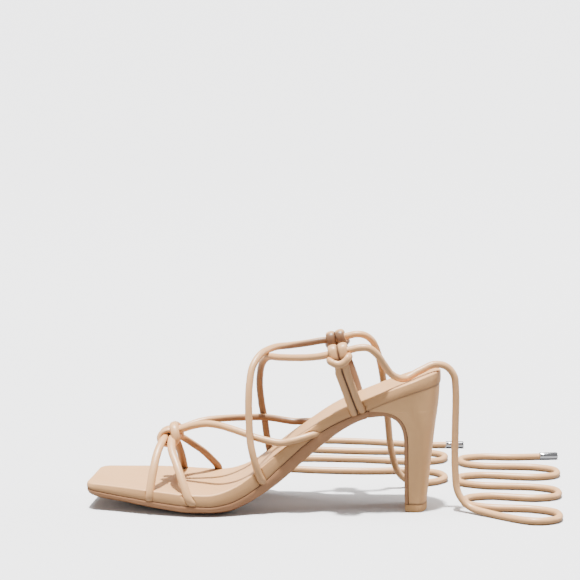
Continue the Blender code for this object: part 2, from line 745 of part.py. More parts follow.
def make_tie(name, tab, route, material, metal, group):
    """An untied end: a cord from its hitch down to the floor, and the metal tip on it."""
    centre, along, _, _ = hitch_frame(tab)
    start = centre + along * (LACE_PAST_HITCH + GAP)
    lead = start + along * TIE_LEAD
    points = [start] + spline_points([lead] + route, TIE_STEP)
    tube(name, points, STRAP, material, group)
    direction = (points[-1] - points[-2]).normalized()
    middle = points[-1] + direction * (GAP + METAL_TIP_LENGTH / 2)
    middle.z = METAL_TIP_DIAMETER / 2 + 0.1
    work = bmesh.new()
    radius = METAL_TIP_DIAMETER / 2 * MM
    bmesh.ops.create_cone(work, cap_ends=True, segments=12, radius1=radius, radius2=radius,
                          depth=METAL_TIP_LENGTH * MM)
    turn = Vector((0, 0, 1)).rotation_difference(direction).to_matrix().to_4x4()
    bmesh.ops.transform(work, matrix=Matrix.Translation(middle * MM) @ turn, verts=work.verts)
    mesh = bpy.data.meshes.new(name + "_tip")
    work.to_mesh(mesh)
    work.free()
    mesh.shade_smooth()
    mesh.set_sharp_from_angle(angle=math.radians(40))
    link(name + "_tip", mesh, metal, group)


def main():
    clear_scene()
    sandal = new_collection("heeled_sandal")
    cutters = new_collection("cutters")
    finish = {name: make_material(name) for name in FINISHES}
    make_outsole(finish["outsole"], sandal)
    footbed = make_footbed(finish["footbed"], sandal)
    cut_notches(footbed, finish["footbed"], sandal, cutters)
    make_heel(finish["heel"], sandal, cutters)
    make_heel_tip(finish["heel_tip"], sandal)
    make_upper(finish["strap"], sandal, cutters)
    for name, tab in TABS.items():
        tube(name, spline_points(tab_route(tab), TAB_STEP), TAB_CORD, finish["strap"], sandal)
    make_tie("tie_medial", TABS["tab_medial"], TIE_MEDIAL, finish["strap"], finish["metal"], sandal)
    make_tie("tie_lateral", TABS["tab_lateral"], TIE_LATERAL, finish["strap"], finish["metal"], sandal)


main()
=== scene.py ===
"""Looks of a strappy heeled sandal: leather covers, cord straps, loose ties and metal tips.

The tables are in millimetres, in the part's own frame: toe at -X, heel at +X, inner side at -Y, floor at
z = 0. MM turns them into metres where a mesh is made.
"""

import math
from collections import namedtuple

import bmesh
import bpy
import numpy as np
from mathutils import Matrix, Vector


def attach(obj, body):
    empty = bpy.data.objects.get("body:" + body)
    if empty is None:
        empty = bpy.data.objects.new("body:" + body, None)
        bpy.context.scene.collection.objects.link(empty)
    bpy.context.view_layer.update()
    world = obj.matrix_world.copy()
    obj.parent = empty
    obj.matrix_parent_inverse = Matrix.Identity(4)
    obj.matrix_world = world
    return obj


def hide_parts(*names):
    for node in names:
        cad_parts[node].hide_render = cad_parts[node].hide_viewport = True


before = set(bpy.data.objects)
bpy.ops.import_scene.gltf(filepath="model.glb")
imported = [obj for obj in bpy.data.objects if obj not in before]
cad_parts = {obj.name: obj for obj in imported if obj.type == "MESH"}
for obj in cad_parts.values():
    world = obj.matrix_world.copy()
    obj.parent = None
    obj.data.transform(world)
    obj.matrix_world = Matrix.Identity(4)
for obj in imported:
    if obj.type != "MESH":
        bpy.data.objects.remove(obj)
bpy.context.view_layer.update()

MM = 0.001
BODY = "root"

# Camera, fitted to the photograph's frame of 580 by 580 pixels
CAMERA_AIM = Vector((0.0165, 0.0, 0.1425))
CAMERA_DISTANCE = 1.0
CAMERA_AZIMUTH = math.radians(5.0)
CAMERA_HEIGHT = 0.255
SENSOR = 36.0
LENS = 96.1

# Driving sizes of the sole, millimetres
TOE_X = -115.0  # front edge
HEEL_X = 114.5  # back edge
TOE_CORNER = 6.5  # radius of the toe's corners
SEAT_ROUND = 27.0  # length of the seat's round end
ROLL = 1.2  # radius of the footbed's rolled edge
WALL_BULGE = 0.25  # swelling of the footbed's wall
WALL_FOOT = 0.4  # height of the footbed's eased lower edge
DISH = 0.6  # hollow of the footbed's top
DISH_REACH = 15.0  # distance from the edge at which the hollow is full
EASE = 5.0  # reach over which the top edge is eased along the shoe
SEAM_GAP = 0.06  # space between covers that meet at a seam
OUTSOLE_END = 67.2  # where the outsole starts to turn down into its flap
EDGE_LIFT_BALL = 3.0  # how far the outsole's edge rises over its tread at the ball
EDGE_LIFT_WAIST = 0.3  # and at the waist
LIFT_FROM = -20.0  # the first holds up to here
LIFT_TO = 10.0  # and the second from here
FLAT_SHARE = 0.62  # share of the half width that is flat underneath
EDGE_TUCK = 0.7  # how far the outsole's edge slants in on its way down
EDGE_BULGE = 0.15  # and how far it swells
TOE_BEVEL = 0.35  # bevel of the outsole's front edge

# Driving sizes of the heel
HEEL_FRONT = 68.8  # front of the heel under the seat
BREAST_TOP = 67.4  # top of the front
HEEL_EASE = 5.0  # reach over which the back and sides are eased up the heel
HEEL_CORNER = 0.4  # how far the corners of the front are eased back
FLAP = 2.2  # thickness of the outsole's flap on the front
FLAP_SWELL = 2.0  # added at the flap's top
FLAP_SWELL_REACH = 13.0  # and dying away over this
FLAP_EASE = 0.35  # how far the flap's outer corners are eased in
FLAP_EASE_FROM = 0.7  # from this share of its thickness
FLAP_JOIN = 0.3  # how far in front of the heel the outsole passes into the flap
FLAP_START = HEEL_FRONT - FLAP_JOIN
FLAP_LOW = BREAST_TOP - SEAM_GAP - FLAP - FLAP_SWELL
TIP_HEIGHT = 5.0  # height of the wearing tip

# Driving sizes of the cords
STRAP = 4.6  # diameter of straps, laces and ties
TAB_CORD = 4.3  # diameter of the tabs' cord
NOTCH_INSET = 0.9  # how far inside the wall's face a cord's middle lies
NOTCH_CLEAR = 0.35  # room round a cord in its notch
NOTCH_DEPTH = 3.4  # greatest depth of a notch
SLOT_CLEAR = 0.3  # the same for the slots of the instep cord
SLOT_DEPTH = 0.9
FOOT_RISE = 1.8  # height over the seam at which a cord turns in
TUCK_DEPTH = 3.4  # how far in its end reaches
TUCK_DROP = 0.3  # and how far under the seam
TIE_LIFT = 0.15  # space under a tie that lies on the floor
METAL_TIP_LENGTH = 13.5
METAL_TIP_DIAMETER = 5.2
METAL_TIP_GAP = 0.3  # space between a tie's end and its tip
METAL_TIP_LIFT = 0.1  # and under the tip

# Heights and half widths of the sole along the shoe
SoleRow = namedtuple("SoleRow", "x top seam low medial lateral")
SOLE = [
    SoleRow(-115.0, 17.8, 13.8, 8.8, 25.0, 26.8),
    SoleRow(-104.0, 17.6, 12.3, 6.3, 27.0, 28.8),
    SoleRow(-92.0, 17.2, 11.0, 5.1, 30.0, 31.4),
    SoleRow(-74.0, 16.4, 9.4, 2.8, 34.6, 35.8),
    SoleRow(-60.0, 15.6, 8.1, 1.2, 37.3, 38.2),
    SoleRow(-46.0, 14.7, 7.1, 0.0, 39.1, 39.2),
    SoleRow(-32.0, 14.4, 6.7, 0.0, 38.6, 39.1),
    SoleRow(-22.0, 16.8, 7.9, 0.7, 36.2, 38.1),
    SoleRow(-12.0, 21.4, 11.6, 4.3, 32.6, 36.0),
    SoleRow(0.0, 30.8, 19.4, 11.4, 28.2, 32.0),
    SoleRow(14.0, 42.6, 32.2, 22.3, 25.0, 28.2),
    SoleRow(28.0, 53.2, 45.0, 34.9, 23.0, 25.6),
    SoleRow(42.0, 63.2, 55.6, 47.0, 22.2, 24.2),
    SoleRow(54.0, 69.8, 62.0, 55.8, 22.3, 23.8),
    SoleRow(66.0, 75.0, 66.8, 61.9, 23.0, 23.8),
    SoleRow(80.0, 80.8, 73.2, 65.2, 23.9, 24.0),
    SoleRow(94.0, 86.2, 78.6, 74.0, 24.3, 24.3),
    SoleRow(106.0, 90.4, 81.8, 78.0, 24.3, 24.3),
    SoleRow(114.5, 92.6, 83.4, 80.0, 24.3, 24.3),
]

# Level sections of the heel: front and back, half width at the front and at the widest, round of the back
HeelRow = namedtuple("HeelRow", "z front back half_front half round")
HEEL = [
    HeelRow(5.3, 94.4, 106.4, 13.2, 13.8, 6.0),
    HeelRow(20.0, 94.1, 107.8, 14.0, 14.5, 6.6),
    HeelRow(36.0, 93.9, 109.3, 15.2, 15.7, 8.0),
    HeelRow(50.0, 93.4, 110.8, 17.2, 17.6, 10.5),
    HeelRow(57.0, 91.7, 111.6, 18.8, 19.0, 13.0),
    HeelRow(61.6, 89.0, 112.2, 20.1, 20.1, 15.4),
    HeelRow(64.4, 85.6, 112.6, 21.0, 21.0, 17.8),
    HeelRow(66.2, 81.6, 112.8, 21.6, 21.6, 19.4),
    HeelRow(67.1, 76.4, 113.0, 22.0, 22.0, 21.0),
    HeelRow(67.4, 68.8, 113.1, 22.3, 22.3, 22.4),
    HeelRow(76.0, 68.8, 113.8, 23.3, 23.3, 25.0),
    HeelRow(86.0, 68.8, 114.2, 23.7, 23.7, 26.0),
]

# Routes of the straps
Point = namedtuple("Point", "x y z")
TOE_FRONT = [
    Point(-70.8, -34.6, 13.4),
    Point(-70.3, -31.8, 21.0),
    Point(-69.3, -26.6, 30.0),
    Point(-68.2, -19.4, 37.8),
    Point(-66.7, -12.0, 42.6),
    Point(-65.6, -5.5, 44.6),
    Point(-64.8, 0.5, 44.9),
    Point(-63.6, 6.5, 43.6),
    Point(-61.5, 13.5, 39.0),
    Point(-60.3, 23.0, 30.6),
    Point(-59.7, 31.2, 21.6),
    Point(-59.3, 36.8, 13.0),
]
TOE_REAR = [
    Point(-45.2, -38.4, 11.9),
    Point(-47.2, -36.8, 16.4),
    Point(-50.4, -33.0, 23.4),
    Point(-54.3, -27.0, 31.0),
    Point(-59.0, -18.0, 38.6),
    Point(-60.4, -11.0, 42.6),
    Point(-60.9, -5.5, 44.6),
    Point(-60.2, 0.5, 45.0),
    Point(-58.4, 6.5, 43.6),
    Point(-55.0, 14.0, 39.8),
    Point(-50.3, 20.0, 34.9),
    Point(-44.9, 26.2, 29.2),
    Point(-39.8, 32.8, 22.0),
    Point(-36.6, 37.0, 16.8),
    Point(-35.8, 38.7, 13.0),
]
# The instep cord: from its slot in the inner wall to the toe knot, the knot's inner half, the outer stretch
INSTEP_MEDIAL = [
    Point(40.0, -18.2, 53.0),
    Point(36.0, -20.4, 52.3),
    Point(32.0, -22.4, 51.4),
    Point(27.6, -24.2, 50.2),
    Point(20.0, -25.7, 48.2),
    Point(13.0, -25.4, 46.8),
    Point(5.0, -24.2, 47.6),
    Point(-5.0, -22.9, 49.8),
    Point(-11.0, -20.6, 51.4),
    Point(-19.5, -17.2, 53.4),
    Point(-28.5, -13.0, 54.9),
    Point(-37.5, -9.0, 55.0),
    Point(-47.0, -5.4, 52.8),
    Point(-53.0, -3.6, 50.6),
]
# The knot is pressed flat: each point also has its broad direction in plan and how flat it is
KnotPoint = namedtuple("KnotPoint", "x y z broad_x broad_y flat")
TOE_KNOT = [
    KnotPoint(-58.6, -3.1, 49.0, 0.0, 1.0, 0.6),
    KnotPoint(-63.6, -3.1, 49.2, 0.0, 1.0, 0.7),
    KnotPoint(-67.4, -3.6, 47.8, 0.0, 1.0, 0.7),
    KnotPoint(-69.2, -4.6, 44.6, 0.0, 1.0, 0.6),
    KnotPoint(-68.0, -5.8, 41.6, 0.0, 1.0, 0.6),
    KnotPoint(-64.2, -6.6, 40.4, 0.0, 1.0, 0.6),
    KnotPoint(-60.2, -7.4, 40.6, 0.4, 0.9, 0.5),
    KnotPoint(-57.8, -8.2, 43.8, 0.9, 0.4, 0.5),
    KnotPoint(-58.4, -7.8, 47.8, 1.0, 0.0, 0.6),
    KnotPoint(-59.6, -5.2, 51.4, 1.0, 0.0, 0.7),
    KnotPoint(-60.2, 0.0, 52.5, 1.0, 0.0, 0.7),
]
INSTEP_LATERAL = [
    Point(-53.0, 3.6, 50.6),
    Point(-47.0, 5.6, 52.6),
    Point(-39.0, 8.6, 54.2),
    Point(-31.0, 12.2, 54.5),
    Point(-23.0, 16.4, 54.3),
    Point(-15.0, 20.4, 53.9),
    Point(-7.0, 24.6, 53.5),
    Point(1.0, 27.2, 52.6),
    Point(9.0, 28.2, 51.2),
    Point(16.5, 28.3, 50.2),
    Point(23.0, 27.2, 50.5),
    Point(27.6, 26.4, 50.9),
    Point(32.0, 24.8, 51.7),
    Point(36.0, 22.8, 52.5),
    Point(40.0, 20.6, 53.2),
]
ANKLE_MEDIAL = [
    Point(-1.2, -28.6, 26.6),
    Point(-3.2, -29.4, 33.4),
    Point(-5.2, -29.2, 41.0),
    Point(-6.6, -28.2, 48.0),
    Point(-7.4, -26.6, 59.0),
    Point(-8.0, -24.6, 71.0),
    Point(-7.8, -21.6, 83.0),
    Point(-6.4, -16.4, 94.0),
    Point(-2.2, -8.2, 101.0),
    Point(1.8, 0.0, 103.0),
    Point(6.6, 7.0, 104.0),
    Point(15.0, 16.0, 103.8),
    Point(26.0, 23.6, 104.4),
    Point(36.0, 27.4, 105.7),
]
ANKLE_LATERAL = [
    Point(0.0, 32.4, 29.6),
    Point(-2.2, 32.6, 40.0),
    Point(-3.4, 30.4, 51.0),
    Point(-5.0, 27.4, 62.0),
    Point(-5.8, 22.4, 75.6),
    Point(-4.2, 13.0, 87.8),
    Point(-1.6, 5.8, 94.4),
    Point(2.5, 0.0, 98.4),
    Point(10.4, -8.6, 99.5),
    Point(20.5, -17.6, 100.8),
    Point(31.5, -24.8, 102.3),
    Point(40.5, -28.0, 104.0),
]
# Where each strap meets the sole: place along the shoe, side (-1 inner, 1 outer), how flat it is there
Anchor = namedtuple("Anchor", "x side flat")
TOE_FRONT_FEET = (Anchor(-70.8, -1, 0.8), Anchor(-59.3, 1, 0.5))
TOE_REAR_FEET = (Anchor(-43.0, -1, 1.3), Anchor(-34.8, 1, 0.8))
ANKLE_FEET = (Anchor(0.7, -1, 0.7), Anchor(2.2, 1, 0.5))
# How flat the toe straps lie on the foot, and the distance from the middle plane where the knot rounds them
TOE_FLAT = 0.4
KNOT_REACH = 8.0

# The side tabs: a doubled cord hitched round the lace
Tab = namedtuple("Tab", "side foot_x lace_x lace_y lace_z waypoints")
TABS = {
    "medial": Tab(-1, 62.0, 49.8, 28.6, 106.4,
                  [Point(59.2, 25.2, 74.4), Point(55.8, 28.6, 84.6), Point(52.8, 31.2, 93.6)]),
    "lateral": Tab(1, 59.2, 45.0, 28.6, 107.0,
                   [Point(57.6, 26.4, 73.6), Point(53.8, 29.4, 84.6), Point(49.0, 31.8, 96.0)]),
}
# Distance between the middles of a tab's legs, and how flat they are pressed
LEG_SPACING = 5.0
LEG_FLAT = 0.5
# One half of the hitch from the leg to the middle of the bar: distance along the lace from the hitch's
# middle, outwards and up from the lace's middle, how flat the cord is pressed, and how far its broad side has
# turned from lying along the lace (0) to standing upright (1)
HitchPoint = namedtuple("HitchPoint", "along out up flat turned")
HITCH = [
    HitchPoint(2.45, 4.0, -5.0, 0.7, 0.0),
    HitchPoint(3.0, 4.0, 0.8, 1.0, 0.0),
    HitchPoint(3.15, 3.05, 3.05, 1.0, 0.0),
    HitchPoint(3.15, 0.0, 4.1, 1.0, 0.0),
    HitchPoint(3.15, -3.05, 3.05, 1.0, 0.0),
    HitchPoint(3.3, -4.1, 0.0, 0.9, 0.0),
    HitchPoint(4.0, -3.0, -2.9, 0.7, 0.0),
    HitchPoint(5.6, 0.3, -4.1, 0.5, 0.5),
    HitchPoint(6.5, 3.8, -3.5, 0.35, 1.0),
    HitchPoint(5.5, 6.8, -4.1, 0.35, 1.0),
    HitchPoint(2.8, 7.8, -6.0, 0.35, 1.0),
    HitchPoint(0.0, 8.1, -6.8, 0.35, 1.0),
]
LACE_SLOPE = math.radians(13.0)
LACE_ALONG = Vector((math.cos(LACE_SLOPE), 0.0, math.sin(LACE_SLOPE)))
LACE_UP = Vector((-math.sin(LACE_SLOPE), 0.0, math.cos(LACE_SLOPE)))
# Straight stretches of the lace before the hitch's middle, and of the tie after it
LACE_LEAD = 4.0
TIE_LEADS = (9.3, 13.3)

# Routes of the untied ends past their hitches, down to the floor where they lie
FLOOR_Z = STRAP / 2 + TIE_LIFT


def on_floor(*places):
    """Points of a tie that lies on the floor."""
    return [Point(x, y, FLOOR_Z) for x, y in places]


TIES = {
    "medial": [
        Point(68.8, -28.4, 109.2),
        Point(74.0, -27.2, 105.2),
        Point(78.2, -24.8, 98.8),
        Point(83.4, -21.0, 91.4),
        Point(91.0, -16.0, 88.0),
        Point(101.0, -11.2, 92.4),
        Point(110.6, -7.9, 96.2),
        Point(118.0, -7.1, 94.8),
        Point(122.8, -6.8, 89.4),
        Point(124.2, -6.8, 81.0),
        Point(124.4, -7.4, 30.0),
        Point(126.6, -8.8, 12.6),
        Point(133.4, -12.0, 4.6),
    ] + on_floor(
        (145.0, -20.0), (174.0, -38.0), (188.5, -31.0), (189.0, -15.5), (175.0, -7.5), (147.0, -5.5),
        (133.5, 2.0), (133.0, 17.5), (147.0, 25.0), (179.0, 22.0), (193.0, 29.5), (193.5, 45.0),
        (179.5, 53.0), (144.0, 55.0), (130.0, 62.5), (129.5, 78.0), (143.5, 85.5), (183.0, 83.0),
        (197.0, 90.5), (197.5, 106.0), (183.5, 114.0), (147.0, 115.0), (133.0, 122.5), (132.5, 138.0),
        (147.0, 146.0), (168.0, 146.0), (190.0, 150.0),
    ),
    "lateral": [
        Point(63.6, 29.4, 109.4),
        Point(68.8, 31.6, 105.6),
        Point(72.4, 35.2, 97.6),
        Point(75.0, 39.2, 86.0),
        Point(77.0, 42.6, 72.0),
        Point(79.4, 45.6, 50.0),
        Point(82.2, 48.0, 26.0),
        Point(87.4, 51.0, 10.6),
        Point(97.0, 55.4, 3.4),
    ] + on_floor(
        (111.0, 62.0), (119.0, 74.0), (115.0, 88.5), (100.0, 95.0), (58.0, 91.0), (10.0, 94.0),
        (-5.5, 101.5), (-6.0, 118.5), (9.0, 127.0), (56.0, 129.0), (101.0, 124.5), (117.0, 132.0),
        (119.0, 148.0), (105.0, 157.5), (62.0, 157.0), (16.0, 161.0), (1.0, 169.0), (0.0, 184.0),
        (14.0, 192.5), (60.0, 192.0), (100.0, 184.0), (121.0, 185.0),
    ),
}


def add_object(name, data):
    """An object in the scene, at the origin."""
    item = bpy.data.objects.new(name, data)
    bpy.context.scene.collection.objects.link(item)
    return item


def aim(item, direction):
    """Turn a camera or a lamp to look in a direction."""
    item.rotation_euler = direction.to_track_quat("-Z", "Y").to_euler()


def make_camera():
    """The photograph's view: from the inner side, a little behind the middle, looking slightly down."""
    data = bpy.data.cameras.new("camera")
    data.sensor_width = SENSOR
    data.lens = LENS
    camera = add_object("camera", data)
    away = Vector((math.sin(CAMERA_AZIMUTH), -math.cos(CAMERA_AZIMUTH), 0))
    camera.location = CAMERA_AIM + CAMERA_DISTANCE * away
    camera.location.z = CAMERA_HEIGHT
    aim(camera, CAMERA_AIM - camera.location)
    bpy.context.scene.camera = camera


# Shape tools

# Points worked out between two points of a route, before they are spaced evenly
SPLINE_SHARES = 24
# Points of a loft, and of a tube, that are nearer to each other than this are one
LOFT_MERGE = 0.002
TUBE_MERGE = 0.001
# Edges that turn by more than this, in degrees, stay sharp on the outsole, and on the heel and the tips
OUTSOLE_SHARP = 55.0
SHARP = 50.0


def shares(steps):
    """Even shares from 0 to 1."""
    return [step / steps for step in range(steps + 1)]


def smooth(rows, key, column, at):
    """Read a column of a table at any place, on a curve with no overshoot."""
    keys = [getattr(row, key) for row in rows]
    values = [getattr(row, column) for row in rows]
    at = min(max(at, keys[0]), keys[-1])
    slopes = [(values[i + 1] - values[i]) / (keys[i + 1] - keys[i]) for i in range(len(keys) - 1)]
    tangents = [slopes[0]]
    for before, after in zip(slopes, slopes[1:]):
        opposed = before * after <= 0.0
        tangents.append(0.0 if opposed else 2.0 * before * after / (before + after))
    tangents.append(slopes[-1])
    index = max(i for i in range(len(keys) - 1) if keys[i] <= at)
    span = keys[index + 1] - keys[index]
    t = (at - keys[index]) / span
    start = values[index] * (1 + 2 * t) * (1 - t) ** 2 + tangents[index] * span * t * (1 - t) ** 2
    end = values[index + 1] * t * t * (3 - 2 * t) + tangents[index + 1] * span * t * t * (t - 1)
    return start + end


def eased(rows, key, column, at, reach):
    """Read a column as an average over a short reach, so that a bend in the table comes out soft."""
    ends = smooth(rows, key, column, at - reach) + smooth(rows, key, column, at + reach)
    return 0.5 * smooth(rows, key, column, at) + 0.25 * ends


def half_width(x, column):
    """Half width of the sole: table in the middle, corners at the toe, half ellipse at the back."""
    width = smooth(SOLE, "x", column, x)
    from_toe = x - TOE_X
    if from_toe < TOE_CORNER:
        width -= TOE_CORNER - math.sqrt(max(0.0, TOE_CORNER ** 2 - (TOE_CORNER - from_toe) ** 2))
    into_round = (x - (HEEL_X - SEAT_ROUND)) / SEAT_ROUND
    if into_round > 0.0:
        width *= math.sqrt(max(0.0, 1.0 - into_round ** 2))
    return width


def seam_height(x):
    """Height of the seam between the footbed and what is under it."""
    return smooth(SOLE, "x", "seam", x)


def top_height(x):
    """Height of the footbed's top edge, with the bend at the ball eased as padding eases it."""
    return eased(SOLE, "x", "top", x, EASE)


def spline_points(route, step, extras=None):
    """Evenly spaced points on a smooth curve through a route; extras go along with them in straight steps."""
    route = np.array([tuple(point) for point in route], float)
    extras = np.zeros((len(route), 0)) if extras is None else np.array(extras, float)
    before = np.vstack([2 * route[0] - route[1], route[:-1]])
    after = np.vstack([route[1:], 2 * route[-1] - route[-2]])
    after_next = np.vstack([after[1:], 2 * after[-1] - route[-1]])
    dense = []
    for i in range(len(route) - 1):
        p0, p1, p2, p3 = before[i], route[i], after[i], after_next[i]
        d01, d12, d23 = (math.sqrt(np.linalg.norm(b - a)) for a, b in ((p0, p1), (p1, p2), (p2, p3)))
        m1 = (p2 - p1) + ((p1 - p0) / d01 - (p2 - p0) / (d01 + d12)) * d12
        m2 = (p2 - p1) + ((p3 - p2) / d23 - (p3 - p1) / (d12 + d23)) * d12
        for t in shares(SPLINE_SHARES)[:-1]:
            place = (p1 * (1 + 2 * t) + m1 * t) * (1 - t) ** 2 + (p2 * (3 - 2 * t) + m2 * (t - 1)) * t * t
            dense.append(np.concatenate([place, extras[i] * (1 - t) + extras[i + 1] * t]))
    dense.append(np.concatenate([route[-1], extras[-1]]))
    dense = np.array(dense)
    lengths = np.concatenate([[0.0], np.cumsum(np.linalg.norm(np.diff(dense[:, :3], axis=0), axis=1))])
    wanted = np.linspace(0.0, lengths[-1], max(4, round(lengths[-1] / step) + 1))
    return np.stack([np.interp(wanted, lengths, column) for column in dense.T], axis=1)


def points_of(mesh):
    """The places of a mesh's points, millimetres."""
    places = np.zeros(len(mesh.vertices) * 3)
    mesh.vertices.foreach_get("co", places)
    return places.reshape(-1, 3) / MM


def mesh_from_rings(name, rings, closed_ends=True, sharp=None):
    """A mesh through rings of equally many points, millimetres, joined round and along.

    Edges that turn by more than sharp, in degrees, stay sharp."""
    work = bmesh.new()
    loops = [[work.verts.new(Vector(point) * MM) for point in ring] for ring in rings]
    count = len(loops[0])
    for here, there in zip(loops, loops[1:]):
        for i in range(count):
            j = (i + 1) % count
            work.faces.new((here[i], here[j], there[j], there[i]))
    if closed_ends:
        work.faces.new(loops[0])
        work.faces.new(list(reversed(loops[-1])))
    bmesh.ops.remove_doubles(work, verts=work.verts, dist=LOFT_MERGE * MM)
    bmesh.ops.dissolve_degenerate(work, edges=work.edges, dist=LOFT_MERGE / 2 * MM)
    bmesh.ops.recalc_face_normals(work, faces=work.faces)
    mesh = bpy.data.meshes.new(name)
    work.to_mesh(mesh)
    work.free()
    mesh.shade_smooth()
    if sharp:
        mesh.set_sharp_from_angle(angle=math.radians(sharp))
    return mesh


def joined_sides(inner, outer):
    """A closed ring: along its inner side, given by its mirror image, and back along its outer side."""
    return [(x, -y, z) for x, y, z in inner] + list(reversed(outer))


def object_from(mesh, material):
    """An object of a finished mesh, in one material."""
    mesh.materials.clear()
    mesh.materials.append(material)
    return add_object(mesh.name, mesh)


def finish_piece(item, slot, *nodes):
    """Fasten a finished piece to the shoe's one body and let it stand for its CAD nodes."""
    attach(item, BODY)
    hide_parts(*nodes)


# Routes worked out from the tables

def pressed(flat):
    """What a point of a cord carries: its broad direction, which is along the shoe, and how flat it is."""
    return (1.0, 0.0, 0.0, flat)


def tucked_foot(x, side):
    """The end of a cord at the sole: down the footbed's wall, and in under it at the seam."""
    half = half_width(x, "medial" if side < 0 else "lateral")
    seam = seam_height(x)
    return [Vector((x, side * (half - TUCK_DEPTH), seam - TUCK_DROP)),
            Vector((x, side * (half - NOTCH_INSET), seam + FOOT_RISE))]


def hitch_centre(tab):
    """The middle of a hitch, on the middle of its lace."""
    return Vector((tab.lace_x, tab.side * tab.lace_y, tab.lace_z))


def tab_half(tab, sign):
    """One leg of a tab and its half of the hitch, with what each point carries."""
    centre = hitch_centre(tab)
    shift = sign * LEG_SPACING / 2
    route = tucked_foot(tab.foot_x + shift, tab.side)
    route += [Vector((p.x + shift, tab.side * p.y, p.z)) for p in tab.waypoints]
    extras = [pressed(LEG_FLAT)] * len(route)
    for p in HITCH:
        out = Vector((0.0, tab.side * p.out, 0.0))
        route.append(centre + LACE_ALONG * sign * p.along + out + LACE_UP * p.up)
        turn = 0.5 * math.pi * p.turned
        extras.append((*(LACE_ALONG * sign * math.cos(turn) + LACE_UP * math.sin(turn)), p.flat))
    return route, extras


def tab_route(tab):
    """One cord: up one leg, over the lace, under and across as a bar, and back down the other leg."""
    up, up_extras = tab_half(tab, 1)
    down, down_extras = tab_half(tab, -1)
    return up + down[-2::-1], up_extras + down_extras[-2::-1]


def lace_end(tab):
    """The straight end of a lace, up to the middle of its hitch where the tie takes over."""
    centre = hitch_centre(tab)
    return [centre - LACE_ALONG * LACE_LEAD, centre]


def footed(route, first, last=None, flat=0.0):
    """A strap with its feet: pressed at the sole, half as much above it, then by flat, round at the knot."""
    extras = [pressed(flat if abs(point.y) > KNOT_REACH else 0.0) for point in route]
    head = tucked_foot(first.x, first.side)
    route = head + list(route)
    extras = [pressed(first.flat)] * len(head) + [pressed(0.5 * first.flat)] + extras[1:]
    if last:
        tail = tucked_foot(last.x, last.side)[::-1]
        route += tail
        extras = extras[:-1] + [pressed(0.5 * last.flat)] + [pressed(last.flat)] * len(tail)
    return route, extras


def instep_route():
    """The instep cord: from its inner slot to the toe knot, round in the knot, and to its outer slot."""
    knot = TOE_KNOT + [p._replace(y=-p.y, broad_x=-p.broad_x) for p in reversed(TOE_KNOT[:-1])]
    route = INSTEP_MEDIAL + [Point(p.x, p.y, p.z) for p in knot] + INSTEP_LATERAL
    extras = [pressed(0.0)] * len(INSTEP_MEDIAL)
    extras += [(p.broad_x, p.broad_y, 0.0, p.flat) for p in knot]
    extras += [pressed(0.0)] * len(INSTEP_LATERAL)
    return route, extras


def strap_routes():
    """The route of each cord of the upper, with what its points carry."""
    return {
        "toe_strap_front": footed(TOE_FRONT, *TOE_FRONT_FEET, TOE_FLAT),
        "toe_strap_rear": footed(TOE_REAR, *TOE_REAR_FEET, TOE_FLAT),
        "instep_cord": instep_route(),
        "ankle_lace_medial": footed(ANKLE_MEDIAL + lace_end(TABS["lateral"]), ANKLE_FEET[0]),
        "ankle_lace_lateral": footed(ANKLE_LATERAL + lace_end(TABS["medial"]), ANKLE_FEET[1]),
    }


def spaced(routes, step):
    """Evenly spaced points on each of several routes."""
    return {name: spline_points(route, step, extras) for name, (route, extras) in routes.items()}


def tie_route(side):
    """A tie from the middle of its hitch, straight out and then down to the floor."""
    centre = hitch_centre(TABS[side])
    leads = [centre + LACE_ALONG * lead for lead in TIE_LEADS]
    return [centre] + leads + [Vector(point) for point in TIES[side]]


# Node tools

def set_inputs(node, values):
    """Give inputs of a node a value, or a link from another node's output."""
    for name, value in dict(values).items():
        if isinstance(value, bpy.types.NodeSocket):
            node.id_data.links.new(value, node.inputs[name])
        else:
            node.inputs[name].default_value = value


def add_node(tree, kind, inputs=(), **settings):
    """Add a node: its own settings first, then its inputs."""
    node = tree.nodes.new(kind)
    for name, value in settings.items():
        setattr(node, name, value)
    set_inputs(node, inputs)
    return node


def open_sockets(tree, inputs, outputs):
    """Give a group its named sockets; returns what it is given, and the node that takes its results."""
    for direction, sockets in (("INPUT", inputs), ("OUTPUT", outputs)):
        for name, kind in sockets.items():
            tree.interface.new_socket(name, in_out=direction, socket_type="NodeSocket" + kind)
    return tree.nodes.new("NodeGroupInput").outputs, tree.nodes.new("NodeGroupOutput")


def maths(tree, operation, *values):
    """The result of one step of arithmetic."""
    return add_node(tree, "ShaderNodeMath", dict(enumerate(values)), operation=operation).outputs[0]


def vectors(tree, operation, inputs, output="Vector"):
    """The result of one step of arithmetic on vectors."""
    return add_node(tree, "ShaderNodeVectorMath", inputs, operation=operation).outputs[output]


def noise(tree, at, **inputs):
    """The value of a noise at some coordinates."""
    return add_node(tree, "ShaderNodeTexNoise", {"Vector": at, **inputs}).outputs[0]


def ranged(tree, value, low, high):
    """A value from 0 to 1, brought between two others."""
    inputs = {"Value": value, "To Min": low, "To Max": high}
    return add_node(tree, "ShaderNodeMapRange", inputs).outputs["Result"]


def mixed(tree, share, first, second):
    """A colour between two others, by the sockets that a Mix node keeps for colours."""
    return add_node(tree, "ShaderNodeMix", {0: share, 6: first, 7: second}, data_type="RGBA").outputs[2]


# Leather tubes: one Geometry Nodes tree for all of them

# Faces round a tube, and their length
TUBE_SIDES = 16
TUBE_STEP = 0.45
# How fast the folds change round a tube, and the spacing of its slow swellings
FOLD_WRAP = 0.55
SWELL_SPACING = 9.0
# How much thinner and wider a cord gets where it is pressed fully flat
PRESS_THIN = 0.25
PRESS_WIDE = 0.45
